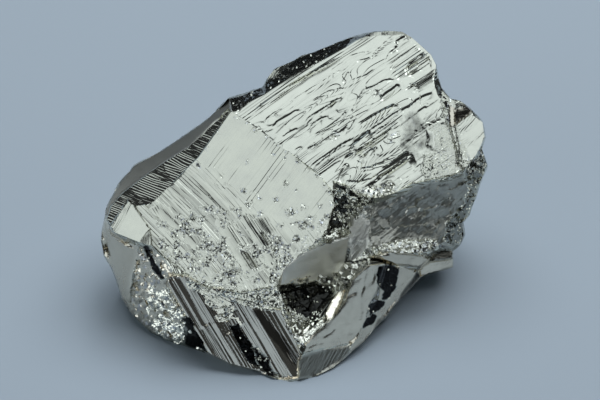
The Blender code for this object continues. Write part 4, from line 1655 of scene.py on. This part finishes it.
@dataclass
class Lump:
    """The specimen: a finely divided copy of the CAD solid with relief on every face."""

    plan: Plan
    fine: float = 1.09  # plan units between points on the two large faces
    middling: float = 1.2  # on the stepped flank
    plain: float = 1.87  # on the rest of the front
    coarse: float = 3.4  # and behind
    under: float = 12.0  # on the face that it rests on
    turned_away: float = 0.04  # a triangle faces the eye if its normal does by more than this
    least_out: float = 0.25  # a normal that points out by less than this counts as this for the turns
    crease: float = np.radians(32.0)
    axis: Triple = (0.35, -0.52, 0.78)  # the striations behind lie square to it
    tread: float = 6.0  # plan units between those striations
    wear: float = 3.2  # height of the wear behind and on the outline, in plan units
    wear_size: float = 20.0  # and the size of its largest bumps
    terrace: float = 22.0  # plan units between the broad steps behind
    terrace_height: float = 2.2  # and the height of one
    foot: float = 0.0003  # metres above the floor below which nothing moves
    margin: float = 0.42  # how close to a triangle's sides its own points may lie, in spacings
    row: float = 0.866  # distance between rows of points, in spacings: the height of an even triangle

    def build(self, solid: bpy.types.Object) -> bpy.types.Object:
        """The finished piece.

        Args:
            solid: the CAD node.

        Returns:
            The dressed lump.
        """
        corners, triangles = self.merged(solid)
        points, faces, parents = self.divide(corners, triangles)
        toward = self.facing_eye(corners, triangles)[parents]
        points, kinds, corner_values = self.shape(points, faces, toward)
        points = self.worn(points, faces, toward)
        mesh = bpy.data.meshes.new("lump")
        mesh.from_pydata(points.tolist(), [], faces.tolist())
        mesh.polygons.foreach_set("material_index", kinds.astype(np.int32))
        for name, values in corner_values.items():
            mesh.attributes.new(name, "FLOAT_VECTOR", "CORNER").data.foreach_set(
                "vector", values.astype(np.float32).ravel())
        groups = (growth_line_group(), fine_step_group(), grain_group(), painted_shade_and_tarnish_group())
        for surface in Surface:
            mesh.materials.append(FINISHES[surface].build(groups))
        mesh.shade_smooth()
        mesh.set_sharp_from_angle(angle=self.crease)
        mesh.update()
        piece = bpy.data.objects.new("lump", mesh)
        bpy.context.scene.collection.objects.link(piece)
        return piece

    def merged(self, solid: bpy.types.Object) -> tuple[Array, Array]:
        """The CAD solid's corners and triangles, from a copy whose loose triangles are joined.

        Args:
            solid: the CAD node.

        Returns:
            Rows of x, y, z, and the three corners of each triangle.
        """
        joined = bmesh.new()
        joined.from_mesh(solid.data)
        bmesh.ops.remove_doubles(joined, verts=joined.verts, dist=1e-6)
        bmesh.ops.triangulate(joined, faces=joined.faces)
        joined.verts.index_update()
        corners = np.array([vert.co for vert in joined.verts], float)
        triangles = np.array([[vert.index for vert in face.verts] for face in joined.faces])
        joined.free()
        return corners, triangles

    def facing_eye(self, corners: Array, triangles: Array) -> Array:
        """Which triangles face the plan's eye.

        Args:
            corners: rows of x, y, z.
            triangles: the corners of each triangle.

        Returns:
            True or False for each triangle.
        """
        a, b, c = (corners[triangles[:, i]] for i in range(3))
        eye = np.array(self.plan.middle) + self.plan.axes()[2] * self.plan.eye * self.plan.unit
        sight = eye - (a + b + c) / 3
        return (one_long(np.cross(b - a, c - a)) * one_long(sight)).sum(1) > self.turned_away

    def spacing(self, corners: Array, triangles: Array) -> Array:
        """How far apart the points of each CAD triangle are.

        Args:
            corners: rows of x, y, z.
            triangles: the corners of each triangle.

        Returns:
            A distance for each triangle, in plan units.
        """
        toward = self.facing_eye(corners, triangles)
        x, y, _ = self.plan.from_frame(corners)[triangles].mean(1).T
        gap = np.where(toward, self.plain, self.coarse)
        for ring, finer in ((STEPPED_FLANK, self.middling), (FRONT_FACE, self.fine), (UPPER_FACE, self.fine)):
            gap[toward & (within(x, y, ring) > -1.0)] = finer
        gap[(corners[triangles][:, :, 2] < self.foot).all(1)] = self.under
        return gap

    def divide(self, corners: Array, triangles: Array) -> tuple[Array, ...]:
        """Divide each triangle into small even ones that share their points along its sides.

        Args:
            corners: the CAD solid's corners.
            triangles: the corners of each of its triangles.

        Returns:
            The points, the small triangles, and which CAD triangle each small one lies in.
        """
        spacing = self.spacing(corners, triangles) * self.plan.unit
        sides: dict[tuple[int, int], Array] = {}
        finest: dict[tuple[int, int], float] = {}
        for triangle, gap in zip(triangles.tolist(), spacing):
            for start, end in zip(triangle, triangle[1:] + triangle[:1]):
                key = (min(start, end), max(start, end))
                finest[key] = min(finest.get(key, 1.0), gap)
        points, count = [corners], len(corners)
        for (start, end), gap in finest.items():
            parts = max(1, round(float(np.linalg.norm(corners[end] - corners[start])) / gap))
            share = np.arange(1, parts)[:, None] / parts
            points.append(corners[start] * (1 - share) + corners[end] * share)
            sides[start, end] = np.arange(count, count + parts - 1)
            sides[end, start] = sides[start, end][::-1]
            count += parts - 1
        faces, parents = [], []
        border_points = np.concatenate(points)
        for index, (triangle, gap) in enumerate(zip(triangles.tolist(), spacing)):
            border = []
            for start, end in zip(triangle, triangle[1:] + triangle[:1]):
                border += [start, *sides[start, end].tolist()]
            inner, made = self.fill(border_points[border], corners[triangle], gap)
            names = np.array(border + list(range(count, count + len(inner))))
            points.append(inner)
            count += len(inner)
            faces.append(names[made])
            parents.append(np.full(len(made), index))
        return np.concatenate(points), np.concatenate(faces), np.concatenate(parents)

    def fill(self, border: Array, corners: Array, gap: float) -> tuple[Array, Array]:
        """Small triangles for one CAD triangle: an even field of points joined to its border points.

        Args:
            border: the points along its sides, in order.
            corners: its three corners.
            gap: the distance between points.

        Returns:
            The new points inside it, and the small triangles, by place in border and then in them.
        """
        if len(border) == 3:
            return np.empty((0, 3)), np.array([[0, 1, 2]])
        first = corners[1] - corners[0]
        along = first / np.linalg.norm(first)
        normal = np.cross(first, corners[2] - corners[0])
        normal /= np.linalg.norm(normal)
        across = np.cross(normal, along)
        flat = np.column_stack(((border - corners[0]) @ along, (border - corners[0]) @ across))
        low, high = flat.min(0), flat.max(0)
        rows = np.arange(low[1] + gap / 2, high[1], gap * self.row)
        columns = np.arange(low[0] - gap, high[0] + gap, gap)
        u = columns[None, :] + (np.arange(len(rows)) % 2)[:, None] * gap / 2
        v = np.broadcast_to(rows[:, None], u.shape)
        u, v = u.ravel(), v.ravel()
        ring = tuple(map(tuple, np.column_stack(((corners - corners[0]) @ along,
                                                 (corners - corners[0]) @ across)).tolist()))
        keep = within(u, v, ring) > gap * self.margin if len(u) else np.zeros(0, bool)
        u, v = u[keep], v[keep]
        flat_all = [Vector(pair) for pair in np.vstack((flat, np.column_stack((u, v)))).tolist()]
        made = delaunay_2d_cdt(flat_all, [], [list(range(len(border)))], 1, 1e-9)
        sources = [source[0] for source in made[3]]
        small = np.array([[sources[i] for i in face] for face in made[2]])
        inner = corners[0] + u[:, None] * along + v[:, None] * across
        return inner, small

    def shape(self, points: Array, faces: Array,
              toward: Array) -> tuple[Array, Array, dict[str, Array]]:
        """Give the points the relief of the zone that they lie in, and the faces their flow.

        Args:
            points: the points of the divided solid.
            faces: its small triangles.
            toward: whether each small triangle faces the eye.

        Returns:
            The moved points, the kind of surface of each small triangle, and what each corner of
            each triangle carries: flow (along, across, level), steps (slope, height, 0), marks
            (lines, grain, dark) and turn.
        """
        in_front = np.ones(len(points), bool)
        in_front[faces[~toward].ravel()] = False
        plan = self.plan.from_frame(points)
        x, y, out = plan.T
        centre = plan[faces].mean(1)
        kinds = np.full(len(faces), Surface.BACK.value)
        carried = {name: np.zeros((len(faces), 3, 3)) for name in ("flow", "steps", "marks")}
        level = out.copy()
        owner = np.full(len(faces), -1)
        for index, zone in enumerate(ZONES):
            share = zone.share(x, y)
            near = (share > 0) & in_front
            under = level[near] if zone.overlay else out[near]
            level[near] += share[near] * (zone.rise(x[near], y[near], under) - level[near])
            here = toward & (zone.depth(centre[:, 0], centre[:, 1]) > 0)
            kinds[here], owner[here] = zone.surface.value, index
            spot = plan[faces[here]].reshape(-1, 3)
            made = zone.dress(spot[:, 0], spot[:, 1])
            size = (int(here.sum()), 3)
            for name, values in (("flow", (made.along, made.across, made.level)),
                                 ("steps", (made.slope, made.step)),
                                 ("marks", (made.lines, made.grain, made.dark))):
                for place, value in enumerate(values):
                    carried[name][here, :, place] = value.reshape(size)
        plan[:, 2] = level
        moved = points.copy()
        moved[in_front] = self.plan.to_frame(plan[in_front])
        moved[:, 2] = np.maximum(moved[:, 2], 0.0)  # nothing dips under the face that it rests on
        self.dress_back(points, faces, kinds == Surface.BACK.value, carried)
        carried["turn"] = self.turns(moved, faces, owner)
        return moved, kinds, carried

    def turns(self, points: Array, faces: Array, owner: Array) -> Array:
        """How much slope the bright grains need to face where their zone says, and how many they are.

        Args:
            points: the shaped points.
            faces: the small triangles.
            owner: the number of the zone of each small triangle, or -1.

        Returns:
            For each corner of each triangle: slope along, slope across, and the share of the grains.
        """
        normal = summed_normals((points - self.plan.middle) @ self.plan.axes().T, faces)
        least = self.least_out * np.linalg.norm(normal, axis=1)[:, None] + TINY
        lean = normal[:, :2] / np.maximum(normal[:, 2:], least)
        made = np.zeros((len(faces), 3, 3))
        for index, zone in enumerate(ZONES):
            here = owner == index
            if zone.bright:
                right, up = np.moveaxis(lean[faces[here]], 2, 0)
                along, across = turned(right - zone.facing[0], zone.facing[1] - up, zone.bearing)
                made[here] = np.stack((along, across, np.full(along.shape, zone.bright)), axis=2)
        return made

    def dress_back(self, points: Array, faces: Array, behind: Array,
                   carried: dict[str, Array]) -> None:
        """Give the triangles behind striations square to one crystal axis, on each face's own plane.

        Args:
            points: the points of the divided solid.
            faces: its small triangles.
            behind: which of them are behind.
            carried: what the corners carry, filled in for those triangles.
        """
        spot = points[faces[behind]]
        normal = one_long(np.cross(spot[:, 1] - spot[:, 0], spot[:, 2] - spot[:, 0]))
        ahead = one_long(np.cross(normal, self.axis))
        beside = np.cross(normal, ahead)
        along = np.einsum("fij,fj->fi", spot, ahead) / UNIT
        across = np.einsum("fij,fj->fi", spot, beside) / UNIT
        level = across / self.tread + 2.4 * rough(along / 170.0, across / 26.0, 301, 2)
        carried["flow"][behind] = np.stack((along, across, level), axis=2)
        uneven = 0.15 + ease(rough(along / 120.0, across / 9.0, 303, 2), 0.36, 0.64)
        full = np.ones(along.shape)
        carried["steps"][behind] = np.stack((full / self.tread, 0.75 * uneven, 0 * full), axis=2)
        grain = 0.6 * ease(rough(along / 26.0, across / 18.0, 305, 3), 0.56, 0.66)
        dark = 0.45 * ease(rough(along / 44.0, across / 30.0, 307, 3), 0.5, 0.7)
        carried["marks"][behind] = np.stack((0.7 * full, grain, dark), axis=2)

    def worn(self, points: Array, faces: Array, toward: Array) -> Array:
        """The points behind and on the outline moved in and out by fractal noise; the foot stays flat.

        Args:
            points: the shaped points.
            faces: the small triangles.
            toward: whether each small triangle faces the eye.

        Returns:
            The moved points: each goes along its normal by fractal noise and by a staircase along
            the crystal axis less its own steady rise.
        """
        x, y, z = points.T / UNIT
        u, v = x + 0.7 * z, y - 0.8 * z
        noise = self.wear * (rough(u / self.wear_size, v / self.wear_size, 311, 3) - 0.5)
        up = np.array(self.axis) @ (x, y, z) / self.terrace + 1.6 * rough(u / 70.0, v / 70.0, 313, 2)
        noise += self.terrace_height * (stairs(up, 0.2) - up + 0.5)
        behind = np.zeros(len(points))
        behind[faces[~toward].ravel()] = 1.0
        behind[faces[toward].ravel()] *= 0.5
        height = behind * ease(points[:, 2], self.foot, 4.0 * self.foot) * noise * UNIT
        return points + one_long(summed_normals(points, faces)) * height[:, None]


# -------------------- the studio

@dataclass(frozen=True)
class Studio:
    """Pale floor, two soft lamps overhead, a dark room for reflections, and the camera."""

    plan: Plan
    reach: float = 3.0  # metres from the middle of the floor to its sides
    floor_colour: Triple = (0.345, 0.42, 0.495)
    air: Triple = (0.33, 0.41, 0.47)  # the room as the camera sees it
    below: Triple = (0.10, 0.115, 0.13)  # as reflections show it, under the floor
    overhead: Triple = (0.87, 0.96, 1.02)  # and at the top
    # between the two: how high a direction points, and how bright the room is there
    heights: tuple[Pair, ...] = (
        (0.03, 0.02), (0.28, 0.05), (0.5, 0.02), (0.68, 0.02), (0.80, 0.45), (0.88, 0.88),
    )
    ambient: float = 0.03  # the room's brightness as it lights dull surfaces
    lamps: tuple[tuple[str, Triple, float], ...] = (
        ("lamp_left", (-0.10, 0.34, 0.82), 4.1),
        ("lamp_right", (0.34, 0.24, 0.80), 4.5),
    )
    lamp_size: float = 0.75
    lens: float = 150.0
    sensor: float = 36.0
    # side lamps as only reflections show them: direction, the cosines where each fades in, brightness
    side_lamps: tuple[tuple[Triple, float, float, float], ...] = (
        ((-0.84, 0.42, 0.34), 0.92, 0.955, 0.9),
        ((-0.81, -0.57, 0.12), 0.90, 0.97, 1.7),
        ((0.11, 0.56, 0.82), 0.955, 0.98, 1.9),
        ((0.86, -0.25, 0.44), 0.955, 0.98, 1.0),
    )

    def build(self) -> None:
        """Make the floor, the room, the lamps and the camera."""
        self.floor()
        self.room()
        self.overhead_lamps()
        self.camera()

    def floor(self) -> None:
        """A wide flat floor of plain pale cloth."""
        mesh = bpy.data.meshes.new("floor")
        corners = np.array([(-1, -1, 0), (1, -1, 0), (1, 1, 0), (-1, 1, 0)]) * self.reach
        mesh.from_pydata(corners.tolist(), [], [(0, 1, 2, 3)])
        floor = bpy.data.objects.new("floor", mesh)
        bpy.context.scene.collection.objects.link(floor)
        material = bpy.data.materials.new("floor_cloth")
        material.use_nodes = True
        shader = material.node_tree.nodes["Principled BSDF"]
        shader.inputs["Base Color"].default_value = (*self.floor_colour, 1.0)
        shader.inputs["Roughness"].default_value = 0.9
        shader.inputs["Specular IOR Level"].default_value = 0.1
        mesh.materials.append(material)

    def room(self) -> None:
        """The room: dark round the sides, bright overhead, and pale where the camera sees it.

        Its colour is mixed from the ramp by height, each side lamp, and what each kind of ray sees.
        """
        world = bpy.data.worlds.new("room")
        bpy.context.scene.world = world
        world.use_nodes = True
        nodes = Nodes(world.node_tree)
        world.node_tree.nodes.clear()
        place = nodes.add("ShaderNodeTexCoord").outputs["Generated"]
        ramp = nodes.feed(nodes.add("ShaderNodeValToRGB"), Fac=nodes.apart(place)["Z"])
        stops = ramp.color_ramp.elements
        stops[0].position, stops[0].color = 0.0, (*self.below, 1.0)
        stops[1].position, stops[1].color = 1.0, (*self.overhead, 1.0)
        for position, value in self.heights:
            stops.new(position).color = (*(value * part for part in self.overhead), 1.0)
        seen = ramp.outputs[0]
        for direction, start, full, brightness in self.side_lamps:
            fade = nodes.feed(nodes.add("ShaderNodeMapRange", interpolation_type="SMOOTHSTEP"),
                              Value=nodes.vectors("DOT_PRODUCT", place, direction), From_Min=start,
                              From_Max=full)
            colour = tuple(brightness * part for part in self.overhead)
            seen = nodes.mix(fade.outputs[0], seen, (*colour, 1.0))
        path = nodes.add("ShaderNodeLightPath").outputs
        seen = nodes.mix(path["Is Diffuse Ray"], seen, (*(self.ambient,) * 3, 1.0))
        seen = nodes.mix(path["Is Camera Ray"], seen, (*self.air, 1.0))
        glow = nodes.feed(nodes.add("ShaderNodeBackground"), Color=seen, Strength=1.0)
        nodes.feed(nodes.add("ShaderNodeOutputWorld"), Surface=glow.outputs[0])

    def overhead_lamps(self) -> None:
        """The soft lamps overhead, left and right, that light the floor."""
        for name, place, energy in self.lamps:
            lamp = bpy.data.lights.new(name, "AREA")
            lamp.shape, lamp.size = "DISK", self.lamp_size
            lamp.energy = energy
            holder = bpy.data.objects.new(name, lamp)
            holder.location = place
            holder.rotation_euler = Vector(place).to_track_quat("Z", "Y").to_euler()
            holder.visible_glossy = False
            bpy.context.scene.collection.objects.link(holder)

    def camera(self) -> None:
        """The camera at the plan's eye, square to the plan."""
        camera = bpy.data.cameras.new("camera")
        camera.lens, camera.sensor_width = self.lens, self.sensor
        camera.clip_start, camera.clip_end = 0.01, 10.0
        holder = bpy.data.objects.new("camera", camera)
        holder.location = np.array(self.plan.middle) + self.plan.axes()[2] * self.plan.eye * self.plan.unit
        holder.rotation_euler = (np.pi / 2 - self.plan.tilt, 0.0, 0.0)
        bpy.context.scene.collection.objects.link(holder)
        bpy.context.scene.camera = holder


def main() -> None:
    """Build the specimen and its studio."""
    logging.basicConfig(level=logging.INFO, format="%(name)s: %(message)s")
    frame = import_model()
    plan = Plan()
    lump = Lump(plan).build(frame["nodes"]["pyrite"])
    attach(lump, "root")
    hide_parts("pyrite")
    log.info("lump: %d triangles", len(lump.data.polygons))
    Studio(plan).build()
    bpy.context.scene.view_settings.view_transform = "Standard"
    log.info("studio: floor, room, lamps and camera")


if __name__ == "__main__":
    main()
